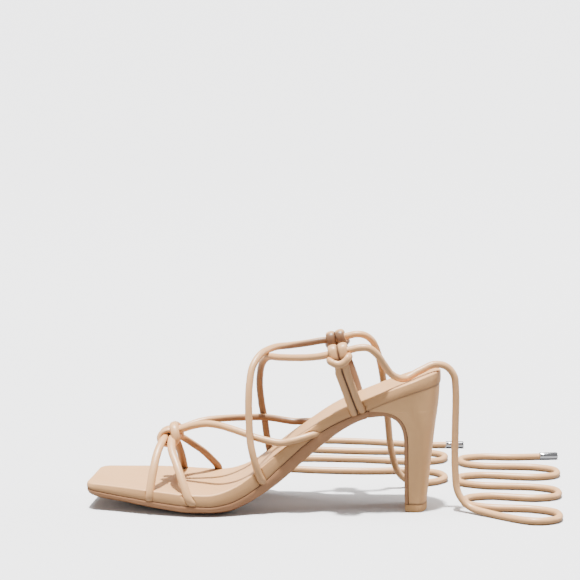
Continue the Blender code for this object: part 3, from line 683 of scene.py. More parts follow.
# Distance of a strap from the middle plane at which its inner side faces straight across the foot, how far
# that side faces down besides, and how much of it faces the foot where the painted shade on the inside begins
# and is full
FOOT_REACH = 20.0
FOOT_BELOW = -0.35
INSIDE_FROM = 0.05
INSIDE_FULL = 0.6
# Sizes of the folds, and how dark the painted shade on the inside is
Tube = namedtuple("Tube", "diameter fold_height fold_spacing swell lined")
STRAP_TUBE = Tube(STRAP, 0.07, 1.3, 0.12, 0.88)
TAB_TUBE = Tube(TAB_CORD, 0.06, 1.2, 0.10, 0.88)
TIE_TUBE = Tube(STRAP, 0.16, 1.15, 0.10, 0.0)
# Seed of the first of each; the others count on from it
STRAP_SEED = 11
TAB_SEED = 23
TIE_SEED = 3
# Spacing of the points that are worked out on a route
ROUTE_STEP = 1.0
TAB_STEP = 0.7


def tube_tree():
    """Sweeps a tube along a path, with fine folds across it, and presses it flat where the path says so.

    Each point keeps its place along and round the tube, and the painted shade on its side towards the foot
    and underneath."""
    tree = bpy.data.node_groups.new("leather_tube", "GeometryNodeTree")
    tree.is_modifier = True
    sizes = ("Radius", "Step", "Fold Height", "Fold Spacing", "Swell", "Seed", "Lined")
    inputs = {"Geometry": "Geometry", "Sides": "Int", "Material": "Material", **dict.fromkeys(sizes, "Float")}
    given, result = open_sockets(tree, inputs, {"Geometry": "Geometry"})

    def shaped(kind, inputs, output="Geometry", **settings):
        return add_node(tree, "GeometryNode" + kind, inputs, **settings).outputs[output]

    def moved(geometry, offset):
        return shaped("SetPosition", {"Geometry": geometry, "Offset": offset})

    def kept(geometry, **fields):
        node = tree.nodes.new("GeometryNodeCaptureAttribute")
        set_inputs(node, {"Geometry": geometry})
        for name, (kind, field) in fields.items():
            node.capture_items.new(kind, name)
            set_inputs(node, {name: field})
        return node.outputs

    def named(name, kind):
        return shaped("InputNamedAttribute", {"Name": name}, "Attribute", data_type=kind)

    def stored(geometry, name, kind, field):
        inputs = {"Geometry": geometry, "Name": name}
        node = add_node(tree, "GeometryNodeStoreNamedAttribute", inputs, data_type=kind, domain="POINT")
        set_inputs(node, {"Value": field})
        return node.outputs["Geometry"]

    def joined(x, y, z):
        return add_node(tree, "ShaderNodeCombineXYZ", {"X": x, "Y": y, "Z": z}).outputs["Vector"]

    def lifted(at, height):
        share = maths(tree, "SUBTRACT", noise(tree, at, Scale=1.0, Detail=2.0), 0.5)
        return maths(tree, "MULTIPLY", share, height)

    place = tree.nodes.new("GeometryNodeSplineParameter").outputs
    position = tree.nodes.new("GeometryNodeInputPosition").outputs["Position"]
    normal = tree.nodes.new("GeometryNodeInputNormal").outputs["Normal"]

    # The sweep
    line = shaped("MeshToCurve", {"Mesh": given["Geometry"]}, "Curve")
    line = shaped("ResampleCurve", {"Curve": line, "Length": given["Step"]}, "Curve", mode="LENGTH")
    path = kept(line, Length=("FLOAT", place["Length"]), Centre=("VECTOR", position))
    circle = {"Resolution": given["Sides"], "Radius": given["Radius"]}
    section = kept(shaped("CurvePrimitiveCircle", circle, "Curve"), Turn=("FLOAT", place["Factor"]))
    sweep = {"Curve": path["Geometry"], "Profile Curve": section["Geometry"], "Fill Caps": True}
    tube = shaped("CurveToMesh", sweep, "Mesh")

    # Folds and slow swellings
    length = path["Length"]
    angle = maths(tree, "MULTIPLY", section["Turn"], 2 * math.pi)
    cosine = maths(tree, "COSINE", angle)
    sine = maths(tree, "SINE", angle)
    folds_at = joined(maths(tree, "DIVIDE", length, given["Fold Spacing"]),
                      maths(tree, "MULTIPLY", cosine, FOLD_WRAP),
                      maths(tree, "ADD", maths(tree, "MULTIPLY", sine, FOLD_WRAP), given["Seed"]))
    swell_at = joined(maths(tree, "DIVIDE", length, SWELL_SPACING * MM), cosine,
                      maths(tree, "ADD", sine, given["Seed"]))
    lift = maths(tree, "ADD", lifted(folds_at, given["Fold Height"]), lifted(swell_at, given["Swell"]))
    tube = moved(tube, vectors(tree, "SCALE", {0: normal, "Scale": lift}))

    # Flattening: thinner all round, and wider in the broad direction
    broad = named("broad", "FLOAT_VECTOR")
    flat = named("flat", "FLOAT")
    offset = vectors(tree, "SUBTRACT", {0: position, 1: path["Centre"]})
    across = vectors(tree, "DOT_PRODUCT", {0: offset, 1: broad}, "Value")
    widening = maths(tree, "MULTIPLY", maths(tree, "MULTIPLY", flat, PRESS_THIN + PRESS_WIDE), across)
    thinner = vectors(tree, "SCALE", {0: offset, "Scale": maths(tree, "MULTIPLY", flat, -PRESS_THIN)})
    wider = vectors(tree, "SCALE", {0: broad, "Scale": widening})
    tube = moved(tube, vectors(tree, "ADD", {0: thinner, 1: wider}))

    # Painted shade on the side that faces the foot: towards the shoe's middle plane, and downwards where the
    # strap is over it
    centre = add_node(tree, "ShaderNodeSeparateXYZ", {"Vector": path["Centre"]}).outputs
    towards_foot = joined(0.0, maths(tree, "DIVIDE", centre["Y"], -FOOT_REACH * MM), FOOT_BELOW)
    facing = vectors(tree, "DOT_PRODUCT", {0: normal, 1: towards_foot}, "Value")
    ramp = {"Value": facing, "From Min": INSIDE_FROM, "From Max": INSIDE_FULL}
    inside = add_node(tree, "ShaderNodeMapRange", ramp, interpolation_type="SMOOTHSTEP").outputs["Result"]

    tube = stored(tube, "tube_place", "FLOAT_VECTOR", joined(length, cosine, sine))
    # Painted shade on the inner and lower side of the cord
    tube = stored(tube, "painted_shade", "FLOAT", maths(tree, "MULTIPLY", inside, given["Lined"]))
    tube = shaped("SetShadeSmooth", {"Geometry": tube})
    tube = shaped("RealizeInstances", {"Geometry": tube})
    tube = shaped("SetMaterial", {"Geometry": tube, "Material": given["Material"]})
    set_inputs(result, {"Geometry": tube})
    return tree


def leather_tube(name, points, tube, seed, tree, material):
    """A leather tube as a plain mesh. Each point: place in millimetres, broad direction, how flat it is."""
    data = bpy.data.meshes.new(name + "_path")
    data.from_pydata(points[:, :3] * MM, [(i, i + 1) for i in range(len(points) - 1)], [])
    data.attributes.new("broad", "FLOAT_VECTOR", "POINT").data.foreach_set("vector", points[:, 3:6].ravel())
    data.attributes.new("flat", "FLOAT", "POINT").data.foreach_set("value", points[:, 6])
    path = add_object(name + "_path", data)
    modifier = path.modifiers.new("tube", "NODES")
    modifier.node_group = tree
    values = {
        "Radius": tube.diameter / 2 * MM,
        "Step": TUBE_STEP * MM,
        "Sides": TUBE_SIDES,
        "Fold Height": tube.fold_height * MM,
        "Fold Spacing": tube.fold_spacing * MM,
        "Swell": tube.swell * MM,
        "Seed": float(seed),
        "Lined": tube.lined,
        "Material": material,
    }
    for socket in tree.interface.items_tree:
        if socket.in_out == "INPUT" and socket.name in values:
            modifier[socket.identifier] = values[socket.name]
    bpy.context.view_layer.update()
    graph = bpy.context.evaluated_depsgraph_get()
    mesh = bpy.data.meshes.new_from_object(path.evaluated_get(graph))
    mesh.name = name
    path.modifiers.remove(modifier)
    bpy.data.objects.remove(path, do_unlink=True)
    work = bmesh.new()
    work.from_mesh(mesh)
    bmesh.ops.remove_doubles(work, verts=work.verts, dist=TUBE_MERGE * MM)
    bmesh.ops.recalc_face_normals(work, faces=work.faces)
    work.to_mesh(mesh)
    work.free()
    mesh.shade_smooth()
    return object_from(mesh, material)


# Materials

# Creases, changes of tone and of gloss, and wiping marks to a metre
CREASES = 420.0
TONES = 38.0
GLOSSES = 90.0
WIPINGS = 700.0
# Hair-fine folds to a metre along a tube, and how fast they change round it
FINE_FOLDS = (1400.0, 0.9, 0.9)
BUMP_STRENGTH = 0.6
LEATHER_SPECULAR = 0.45
COAT_ROUGHNESS = 0.28
SILVER = (214, 214, 217)
SILVER_ROUGHNESS = (0.06, 0.16)
# Screen colours from light to dark, and of the painted shade; roughness; pores to a metre and their depth;
# depth of the creases; height of the bump, millimetres; weight of the coat; whether it has a tube's folds
Leather = namedtuple(
    "Leather", "light dark burnt rough_low rough_high pores pore_depth crease_depth bump coat tubes")
LEATHERS = {
    "footbed_leather": Leather((214, 165, 113), (207, 155, 104), (104, 64, 42),
                               0.42, 0.54, 1500.0, 0.5, 0.35, 0.10, 0.05, False),
    "strap_leather": Leather((217, 169, 119), (207, 157, 107), (101, 70, 50),
                             0.34, 0.46, 1700.0, 0.4, 0.45, 0.10, 0.2, True),
    "heel_leather": Leather((237, 185, 128), (230, 177, 120), (110, 68, 44),
                            0.38, 0.48, 1600.0, 0.4, 0.25, 0.08, 0.08, False),
    "sole_leather": Leather((188, 138, 98), (175, 124, 85), (90, 56, 36),
                            0.44, 0.58, 1100.0, 0.5, 0.5, 0.12, 0.03, False),
    "tip_rubber": Leather((220, 170, 114), (212, 160, 106), (110, 68, 44),
                          0.55, 0.66, 900.0, 0.3, 0.3, 0.08, 0.0, False),
}


def linear(red, green, blue):
    """A colour given as it is seen on a screen, 0 to 255, as the shader needs it."""
    values = []
    for value in (red, green, blue):
        share = value / 255
        values.append(share / 12.92 if share <= 0.04045 else ((share + 0.055) / 1.055) ** 2.4)
    return (*values, 1.0)


def new_material(name):
    """A material with its node tree and its shader."""
    material = bpy.data.materials.new(name)
    material.use_nodes = True
    return material, material.node_tree, material.node_tree.nodes["Principled BSDF"]


def skin_group():
    """Smooth dressed leather: fine pores, faint creases and slow changes of tone."""
    group = bpy.data.node_groups.new("leather_skin", "ShaderNodeTree")
    depths = dict.fromkeys(("Pores per Metre", "Pore Depth", "Crease Depth"), "Float")
    results = dict.fromkeys(("Height", "Tone", "Gloss"), "Float")
    given, result = open_sockets(group, {"Coordinates": "Vector", **depths}, results)
    at = given["Coordinates"]
    pits = {"Vector": at, "Scale": given["Pores per Metre"]}
    cells = add_node(group, "ShaderNodeTexVoronoi", pits, feature="F1").outputs["Distance"]
    pores = maths(group, "MULTIPLY", cells, given["Pore Depth"])
    creases = noise(group, at, Scale=CREASES, Detail=3.0, Distortion=0.6)
    set_inputs(result, {
        "Height": maths(group, "MULTIPLY_ADD", creases, given["Crease Depth"], pores),
        "Tone": noise(group, at, Scale=TONES, Detail=4.0, Roughness=0.55),
        "Gloss": noise(group, at, Scale=GLOSSES, Detail=2.0),
    })
    return group


def tube_folds(tree):
    """Hair-fine folds across a tube."""
    place = add_node(tree, "ShaderNodeAttribute", attribute_name="tube_place").outputs["Vector"]
    return noise(tree, vectors(tree, "MULTIPLY", {0: place, 1: FINE_FOLDS}), Scale=1.0, Detail=2.0)


def make_leather(name, skin):
    """A leather with pores and tone from the shared group, darkened to its painted shade colour where the
    piece carries painted shade.
    """
    row = LEATHERS[name]
    material, tree, shader = new_material(name)
    grain = add_node(tree, "ShaderNodeGroup", node_tree=skin)
    set_inputs(grain, {
        "Coordinates": tree.nodes.new("ShaderNodeTexCoord").outputs["Object"],
        "Pores per Metre": row.pores,
        "Pore Depth": row.pore_depth,
        "Crease Depth": row.crease_depth,
    })
    tone = mixed(tree, grain.outputs["Tone"], linear(*row.dark), linear(*row.light))
    # Painted shade: where a piece carries it, the colour goes over to the dark shade colour
    painted_shade = add_node(tree, "ShaderNodeAttribute", attribute_name="painted_shade").outputs["Fac"]
    height = grain.outputs["Height"]
    if row.tubes:
        height = maths(tree, "ADD", height, tube_folds(tree))
    bump = {"Strength": BUMP_STRENGTH, "Distance": row.bump * MM, "Height": height}
    set_inputs(shader, {
        "Base Color": mixed(tree, painted_shade, tone, linear(*row.burnt)),
        "Roughness": ranged(tree, grain.outputs["Gloss"], row.rough_low, row.rough_high),
        "Normal": add_node(tree, "ShaderNodeBump", bump).outputs["Normal"],
        "Specular IOR Level": LEATHER_SPECULAR,
        "Coat Weight": row.coat,
        "Coat Roughness": COAT_ROUGHNESS,
    })
    return material


def make_metal():
    """Polished silver of the tie tips, with faint wiping marks."""
    material, tree, shader = new_material("polished_silver")
    place = tree.nodes.new("ShaderNodeTexCoord").outputs["Object"]
    wiping = noise(tree, place, Scale=WIPINGS, Detail=3.0)
    set_inputs(shader, {
        "Base Color": linear(*SILVER),
        "Metallic": 1.0,
        "Roughness": ranged(tree, wiping, *SILVER_ROUGHNESS),
    })
    return material


# Painted shade along the seams: how strong, and the reach over which it dies away
Seam = namedtuple("Seam", "strength reach")
FOOTBED_SEAM = Seam(0.85, 0.5)
OUTSOLE_SEAM = Seam(0.55, 0.4)
HEEL_SEAM = Seam(0.7, 0.4)
HEEL_FOOT = Seam(0.6, 0.4)
TIP_SEAM = Seam(0.5, 0.35)
# The painted shade in a notch is full from this depth on
NOTCH_DARK = Seam(0.6, 0.9)


def seam_shade(seam, distance):
    """How much painted shade a surface gets at some distance from a seam."""
    return seam.strength * np.exp(-np.maximum(0.0, distance) / seam.reach)


def over_seam(places):
    """Heights of points over the seam under the footbed."""
    return places[:, 2] - np.array([seam_height(x) for x in places[:, 0]])


def finish_cover(mesh, shade, material, node):
    """Give a cover its painted shade and let it stand for its CAD node."""
    # Painted shade, kept as a layer that darkens the colour
    layer = mesh.attributes.new("painted_shade", "FLOAT", "POINT")
    layer.data.foreach_set("value", np.clip(shade, 0.0, 1.0).astype(np.float32))
    finish_piece(object_from(mesh, material), node, node)


# Ties and their tips

TIP_SIDES = 40
# The tip's outline: distance from its crimped end, and share of its radius
TIP_OUTLINE = [
    (0.0, 0.0), (0.0, 0.86), (0.12, 0.95), (0.5, 1.0), (1.0, 1.0), (1.25, 0.93), (1.5, 0.90), (1.9, 0.92),
    (2.3, 0.97), (2.9, 0.985), (7.0, 1.0), (METAL_TIP_LENGTH - 1.3, 1.0), (METAL_TIP_LENGTH - 0.6, 0.975),
    (METAL_TIP_LENGTH - 0.25, 0.92), (METAL_TIP_LENGTH - 0.08, 0.84), (METAL_TIP_LENGTH, 0.72),
    (METAL_TIP_LENGTH, 0.0),
]


def make_tip(name, end, direction, metal):
    """A turned metal barrel crimped on the cord's end, lying on the floor."""
    radius = METAL_TIP_DIAMETER / 2
    axis = direction.normalized()
    side = axis.cross(Vector((0, 0, 1))).normalized()
    up = side.cross(axis)
    start = end + axis * METAL_TIP_GAP
    start.z = radius + METAL_TIP_LIFT
    angles = [2 * math.pi * t for t in shares(TIP_SIDES)[:-1]]
    circle = [(side * math.cos(angle) + up * math.sin(angle)) * radius for angle in angles]
    rings = [[start + axis * along + spoke * share for spoke in circle] for along, share in TIP_OUTLINE]
    return object_from(mesh_from_rings(name, rings, closed_ends=False, sharp=SHARP), metal)


def make_tie(side, seed, tree, leather, metal):
    """An untied end of a lace with its metal tip."""
    route = tie_route(side)
    points = spline_points(route, ROUTE_STEP, [pressed(0.0)] * len(route))
    cord = leather_tube("tie_cord_" + side, points, TIE_TUBE, seed, tree, leather)
    end = Vector(points[-1][:3])
    flat_direction = end - Vector(points[-3][:3])
    flat_direction.z = 0.0
    tip = make_tip("tie_cap_" + side, end, flat_direction, metal)
    finish_piece(cord, "strap", "tie_" + side)
    finish_piece(tip, "metal", "tie_%s_tip" % side)


# Straps and tabs

# Painted shade on a tab: where its legs pass behind the bar of the hitch (height, reach, how far outwards
# and along, how steeply it darkens), and on the line where the two strands touch, up to a place over the lace
CREVICE_UP = -5.2
CREVICE_REACH = 3.6
CREVICE_OUT = (2.4, 6.2)
CREVICE_ALONG = 5.4
CREVICE_DARK = 1.5
TOUCH_DARK = 0.35
TOUCH_REACH = 0.85
TOUCH_OVER = 6.0


def paint_tab_shade(mesh, tab):
    """Paint shade on a tab where its strands touch and where they pass behind the bar."""
    places = points_of(mesh)
    centre = hitch_centre(tab)
    offsets = places - np.array(centre)
    along = np.abs(offsets @ np.array(LACE_ALONG))
    up = offsets @ np.array(LACE_UP)
    out = tab.side * offsets[:, 1]
    behind_bar = (along < CREVICE_ALONG) & (out > CREVICE_OUT[0]) & (out < CREVICE_OUT[1])
    nearness = CREVICE_DARK * (1 - np.abs(up - CREVICE_UP) / CREVICE_REACH)
    crevice = np.clip(nearness, 0.0, 1.0) * behind_bar
    over_lace = centre + TOUCH_OVER * LACE_UP
    middle = [(seam_height(tab.foot_x), tab.foot_x)] + [(p.z, p.x) for p in tab.waypoints]
    middle += [(centre.z, centre.x), (over_lace.z, over_lace.x)]
    heights, lengths = zip(*middle)
    from_middle = np.abs(places[:, 0] - np.interp(places[:, 2], heights, lengths))
    touch = np.clip((TOUCH_REACH - from_middle) / (TOUCH_REACH - TOUCH_DARK), 0.0, 1.0)
    shade = np.maximum(crevice, touch * (out < CREVICE_OUT[1]))
    layer = mesh.attributes["painted_shade"].data
    values = np.zeros(len(layer), np.float32)
    layer.foreach_get("value", values)
    layer.foreach_set("value", np.maximum(values, shade).astype(np.float32))


def make_straps(strap_points, tree, leather):
    """The cords of the upper."""
    for seed, (name, points) in enumerate(strap_points.items(), STRAP_SEED):
        finish_piece(leather_tube(name, points, STRAP_TUBE, seed, tree, leather), "strap", "upper")


def make_tabs(tab_points, tree, leather):
    """The hitched cords at both sides."""
    for seed, (side, points) in enumerate(tab_points.items(), TAB_SEED):
        tab = leather_tube("tab_cord_" + side, points, TAB_TUBE, seed, tree, leather)
        paint_tab_shade(tab.data, TABS[side])
        finish_piece(tab, "strap", "tab_" + side)


# Footbed

# Steps round a toe corner, round the seat, across the toe, up the wall and over the rolled edge
CORNER_STEPS = 12
SEAT_STEPS = 30
TOE_STEPS = 16
WALL_STEPS = 12
ROLL_STEPS = 7
# Spacing along the footbed, and the closer one round the places where cords go into it
FOOTBED_STEP = 1.3
NOTCH_STEP = 0.45
NOTCH_REACH = 5.5
NOTCH_PLACES = (-70.8, -59.3, -43.0, -35.0, 0.0, 30.0, 37.0, 60.5)
# Points of a cord that count as its foot
FOOT_POINTS = 24
# A face that runs across a cord, with less than this of its normal square to it, isn't pressed in
GRAZING = 0.05
# The middle line that the loops of the footbed shrink to
SPINE_INSET = 25.0
SPINE_FRONT = TOE_X + SPINE_INSET
SPINE_BACK = HEEL_X - SEAT_ROUND
# The underside and its eased edge: inset from the outline, where None goes to the middle line, and rise
LOWER_EDGE = ((None, 0.0), (6.0, 0.0), (1.0, 0.0), (0.35, 0.08), (0.08, WALL_FOOT))
TOP_INSETS = (3.0, 4.2, 5.6, 7.4, 9.6, 12.2, 15.2, 18.6, None)
Level = namedtuple("Level", "inset share offset")


def places_along(spacing, dense_spacing=0.0, dense_reach=0.0, dense_at=()):
    """Places from toe to heel, closer together round the corners, at the notches and round the back."""
    last = HEEL_X - SEAT_ROUND
    places = [TOE_X + TOE_CORNER * (1 - math.cos(0.5 * math.pi * t)) for t in shares(CORNER_STEPS)[:-1]]
    x = TOE_X + TOE_CORNER
    while x < last:
        places.append(x)
        near = any(abs(x - middle) < dense_reach for middle in dense_at)
        x += dense_spacing if near else spacing
    places += [last + SEAT_ROUND * math.sin(0.5 * math.pi * t) for t in shares(SEAT_STEPS)]
    return places


def plan_outline(places):
    """The sole's outline seen from above, once round: across the toe, inner side, back, outer side."""
    front_in = half_width(TOE_X, "medial")
    front_out = half_width(TOE_X, "lateral")
    loop = [(TOE_X, front_out - (front_in + front_out) * t) for t in shares(TOE_STEPS)[1:-1]]
    loop += [(x, -half_width(x, "medial")) for x in places]
    loop += [(x, half_width(x, "lateral")) for x in reversed(places[:-1])]
    return loop


def inset_point(place, inset):
    """A point of the outline moved inwards towards the middle line of the sole; None goes all the way."""
    x, y = place
    spine = min(max(x, SPINE_FRONT), SPINE_BACK)
    if inset is None:
        return spine, 0.0
    reach = math.hypot(x - spine, y)
    share = min(1.0, inset / reach)
    return x + (spine - x) * share, y * (1 - share)


def footbed_levels():
    """Levels from the middle of the underside, up the wall and over the edge, to the middle of the top.

    Each lies at a share of the way from the seam up to the top edge, and an offset over that."""
    levels = [Level(inset, 0.0, rise) for inset, rise in LOWER_EDGE]
    for t in shares(WALL_STEPS)[1:]:
        levels.append(Level(-WALL_BULGE * math.sin(math.pi * t), t, WALL_FOOT * (1 - t) - ROLL * t))
    for t in shares(ROLL_STEPS)[1:]:
        angle = 0.5 * math.pi * t
        levels.append(Level(ROLL * (1 - math.cos(angle)), 1.0, ROLL * (math.sin(angle) - 1)))
    for inset in TOP_INSETS:
        reach = DISH_REACH if inset is None else inset
        share = min(1.0, (reach - ROLL) / (DISH_REACH - ROLL))
        levels.append(Level(inset, 1.0, -DISH * share * share * (3 - 2 * share)))
    return levels


def footbed_rings(outline):
    """Loops round the footbed, one at each level."""
    rings = []
    for level in footbed_levels():
        ring = []
        for place in outline:
            x, y = inset_point(place, level.inset)
            seam = seam_height(x)
            ring.append((x, y, seam + (top_height(x) - seam) * level.share + level.offset))
        rings.append(ring)
    return rings


def cord_feet(strap_points, tab_points):
    """The stretches of cord that lie in the footbed wall: points, notch radius and greatest depth."""
    feet = []
    for name, points in strap_points.items():
        in_slot = name.startswith("instep")
        radius = STRAP / 2 + (SLOT_CLEAR if in_slot else NOTCH_CLEAR)
        depth = SLOT_DEPTH if in_slot else NOTCH_DEPTH
        feet.append((points[:FOOT_POINTS, :3], radius, depth))
        if not name.startswith("ankle"):
            feet.append((points[-FOOT_POINTS:, :3], radius, depth))
    for points in tab_points.values():
        for foot in (points[:FOOT_POINTS, :3], points[-FOOT_POINTS:, :3]):
            feet.append((foot, TAB_CORD / 2 + NOTCH_CLEAR, NOTCH_DEPTH))
    return feet


def carve(mesh, feet):
    """Press a snug notch into the surface behind each cord; returns how deep it is at each point."""
    places = points_of(mesh)
    normals = np.array([v.normal for v in mesh.vertices])
    depth = np.zeros(len(places))
    for points, radius, limit in feet:
        starts = points[:-1]
        spans = points[1:] - starts
        low = points.min(0) - radius
        high = points.max(0) + radius
        for index in np.where(((places > low) & (places < high)).all(1))[0]:
            here = places[index]
            t = np.clip(((here - starts) * spans).sum(1) / (spans ** 2).sum(1), 0.0, 1.0)
            gaps = here - (starts + spans * t[:, None])
            nearest = int(np.argmin((gaps ** 2).sum(1)))
            offset = gaps[nearest]
            if offset @ offset >= radius * radius:
                continue
            # Along the inward normal, the far side of the cord's round is the root of a quadratic
            axis = spans[nearest] / np.linalg.norm(spans[nearest])
            inward = -normals[index]
            across = inward - axis * (inward @ axis)
            offset = offset - axis * (offset @ axis)
            a = across @ across
            if a < GRAZING:
                continue
            b = offset @ across
            c = offset @ offset - radius * radius
            push = (-b + math.sqrt(max(0.0, b * b - a * c))) / a
            push = min(max(push, 0.0), limit)
            places[index] = here + inward * push
            depth[index] = max(depth[index], push)
    mesh.vertices.foreach_set("co", (places * MM).ravel())
    mesh.update()
    return depth


def make_footbed(leather, feet):
    """The covered footbed, with a notch behind each cord, and painted shade in the notches and along the
    seam.
    """
    outline = plan_outline(places_along(FOOTBED_STEP, NOTCH_STEP, NOTCH_REACH, NOTCH_PLACES))
    mesh = mesh_from_rings("footbed_cover", footbed_rings(outline), closed_ends=False)
    depth = carve(mesh, feet)
    # Painted shade along the seam and in the notches
    shade = seam_shade(FOOTBED_SEAM, over_seam(points_of(mesh)))
    shade += NOTCH_DARK.strength * np.minimum(1.0, depth / NOTCH_DARK.reach)
    finish_cover(mesh, shade, leather, "footbed")


# Outsole

# Spacing along the outsole, places where it turns down, and steps down its edge and under it
OUTSOLE_STEP = 1.6
TURN_PLACES = 6
EDGE_STEPS = 6
# Corners of the edge: in from it and down from its top; and in from its foot and up from its lowest
UPPER_CORNER = ((2.5, 0.0), (0.5, 0.0), (0.12, 0.14), (0.0, 0.5))
LOWER_CORNER = ((0.05, 0.5), (0.25, 0.15))
# How far in from the edge's foot the underside begins
UNDER_INSET = 0.6


def outsole_low(x):
    """Height of the flat underneath, which turns down to the flap at its end."""
    low = smooth(SOLE, "x", "low", min(x, OUTSOLE_END))
    turned = max(0.0, x - OUTSOLE_END) / (FLAP_START - OUTSOLE_END)
    return low + (FLAP_LOW - low) * turned


def outsole_side(x, column):
    """One side of the outsole's section: out along its top, down its edge, and under it to the flat."""
    half = half_width(x, column)
    low = outsole_low(x)
    share = min(1.0, max(0.0, (x - LIFT_FROM) / (LIFT_TO - LIFT_FROM)))
    lift = EDGE_LIFT_BALL + (EDGE_LIFT_WAIST - EDGE_LIFT_BALL) * share
    bevel = TOE_BEVEL if x <= TOE_X else 0.0
    upper = seam_height(x) - SEAM_GAP - bevel
    edge = low + lift + bevel
    side = [(x, half - inset, upper - drop) for inset, drop in UPPER_CORNER]
    wall_top = upper - UPPER_CORNER[-1][1]
    wall_low = edge + LOWER_CORNER[0][1]
    for t in shares(EDGE_STEPS)[1:-1]:
        out = EDGE_BULGE * math.sin(math.pi * t) - EDGE_TUCK * t * t
        side.append((x, half + out, wall_top + (wall_low - wall_top) * t))
    foot = half - EDGE_TUCK
    side += [(x, foot - inset, edge + rise) for inset, rise in LOWER_CORNER]
    start = foot - UNDER_INSET
    for t in shares(EDGE_STEPS):
        side.append((x, start + (half * FLAT_SHARE - start) * t, low + lift * (1 - t) ** 2))
    return side


def flap_side(breast, index, count):
    """One side of the flap's section at a point of the heel's front: down its edge and in over its face."""
    here = breast[index]
    before = breast[max(0, index - 1)]
    after = breast[min(len(breast) - 1, index + 1)]
    out = Vector((after.z - before.z, 0.0, before.x - after.x)).normalized()
    thick = FLAP + FLAP_SWELL * max(0.0, 1 - (here - breast[0]).length / FLAP_SWELL_REACH)
    corner = here.y - FLAP_EASE
    side = []
    for share in shares(count - 1):
        t = 2 * share
        if t < 1.0:
            y = here.y - FLAP_EASE * max(0.0, (t - FLAP_EASE_FROM) / (1 - FLAP_EASE_FROM))
        else:
            y = corner - (corner - here.y * FLAT_SHARE) * (t - 1)
        deep = SEAM_GAP + thick * min(1.0, t)
        side.append((here.x + out.x * deep, y, here.z + out.z * deep))
    return side


def make_outsole(leather):
    """The thin sole from the toe to the heel, with the flap that turns down the heel's front."""
    places = [x for x in places_along(OUTSOLE_STEP) if x < OUTSOLE_END]
    places += list(np.linspace(OUTSOLE_END, FLAP_START, TURN_PLACES))
    rings = [joined_sides(outsole_side(x, "medial"), outsole_side(x, "lateral")) for x in places]
    breast = breast_line()
    for index in range(len(breast)):
        side = flap_side(breast, index, len(rings[0]) // 2)
        rings.append(joined_sides(side, side))
    mesh = mesh_from_rings("outsole_edge", rings, sharp=OUTSOLE_SHARP)
    places = points_of(mesh)
    on_sole = places[:, 0] <= HEEL_FRONT
    # Painted shade along the seam under the footbed
    finish_cover(mesh, seam_shade(OUTSOLE_SEAM, -over_seam(places) - SEAM_GAP) * on_sole, leather, "outsole")


# Heel and its wearing tip

# Steps across half the front, along a side and round half the back
FRONT_STEPS = 5
SIDE_STEPS = 6
BACK_STEPS = 16
# Spacing down the heel's front, and steps from there up to the seam
BREAST_STEP = 1.2
SEAM_STEPS = 14
# Rounds in which a column's place and its height under the seam settle
SETTLE = 5
# Outline of the wearing tip: height, and inset of its worn lower edge and of its upper one
TIP_PROFILE = [
    (0.0, 0.9), (0.12, 0.45), (0.5, 0.1), (1.0, 0.0),
    (TIP_HEIGHT - 0.5, 0.0), (TIP_HEIGHT - 0.15, 0.12), (TIP_HEIGHT, 0.4),
]


def heel_places():
    """Half a heel section, from the middle of its front to the middle of its back: kind and share."""
    places = [("front", t) for t in shares(FRONT_STEPS)]
    places += [("side", t) for t in shares(SIDE_STEPS)[1:-1]]
    places += [("back", t) for t in shares(BACK_STEPS)]
    return places


def heel_point(kind, value, z, breast=None):
    """A place on a level section of the heel; breast gives the front's place and half width, if known."""
    front = breast.x if breast else smooth(HEEL, "z", "front", z)
    half_front = breast.y if breast else smooth(HEEL, "z", "half_front", z)
    back, half, depth = (eased(HEEL, "z", column, z, HEEL_EASE) for column in ("back", "half", "round"))
    if kind == "front":
        return front + (HEEL_CORNER if value == 1.0 else 0.0), half_front * value
    if kind == "side":
        return front + (back - depth - front) * value, half_front + (half - half_front) * value
    angle = 0.5 * math.pi * value
    return back - depth + depth * math.sin(angle), half * math.cos(angle)


def heel_ring(side):
    """A closed ring from its half, which starts and ends on the middle line."""
    return joined_sides(side, side[1:-1])


def breast_line():
    """The front of the heel from its top edge down to the wearing tip: place, half width and height."""
    rows = [row for row in HEEL if row.z <= BREAST_TOP]
    route = [Point(row.front, row.half_front, row.z) for row in reversed(rows)]
    return [Vector(place) for place in spline_points(route, BREAST_STEP)]


def make_heel(leather):
    """The covered heel block: level sections up to its breast, and from there columns up to the seam."""
    places = heel_places()
    rings = []
    for breast in reversed(breast_line()):
        z = breast.z
        rings.append(heel_ring([(*heel_point(kind, value, z, breast), z) for kind, value in places]))
    for share in shares(SEAM_STEPS)[1:]:
        side = []
        for kind, value in places:
            z = BREAST_TOP
            for _ in range(SETTLE):
                x, y = heel_point(kind, value, z)
                z = BREAST_TOP + (seam_height(x) - SEAM_GAP - BREAST_TOP) * share
            side.append((x, y, z))
        rings.append(heel_ring(side))
    mesh = mesh_from_rings("heel_cover", rings, sharp=SHARP)
    places = points_of(mesh)
    # Painted shade along the seam under the footbed and at the heel's foot over the tip
    shade = seam_shade(HEEL_SEAM, -over_seam(places) - SEAM_GAP)
    shade += seam_shade(HEEL_FOOT, places[:, 2] - HEEL[0].z)
    finish_cover(mesh, shade, leather, "heel")


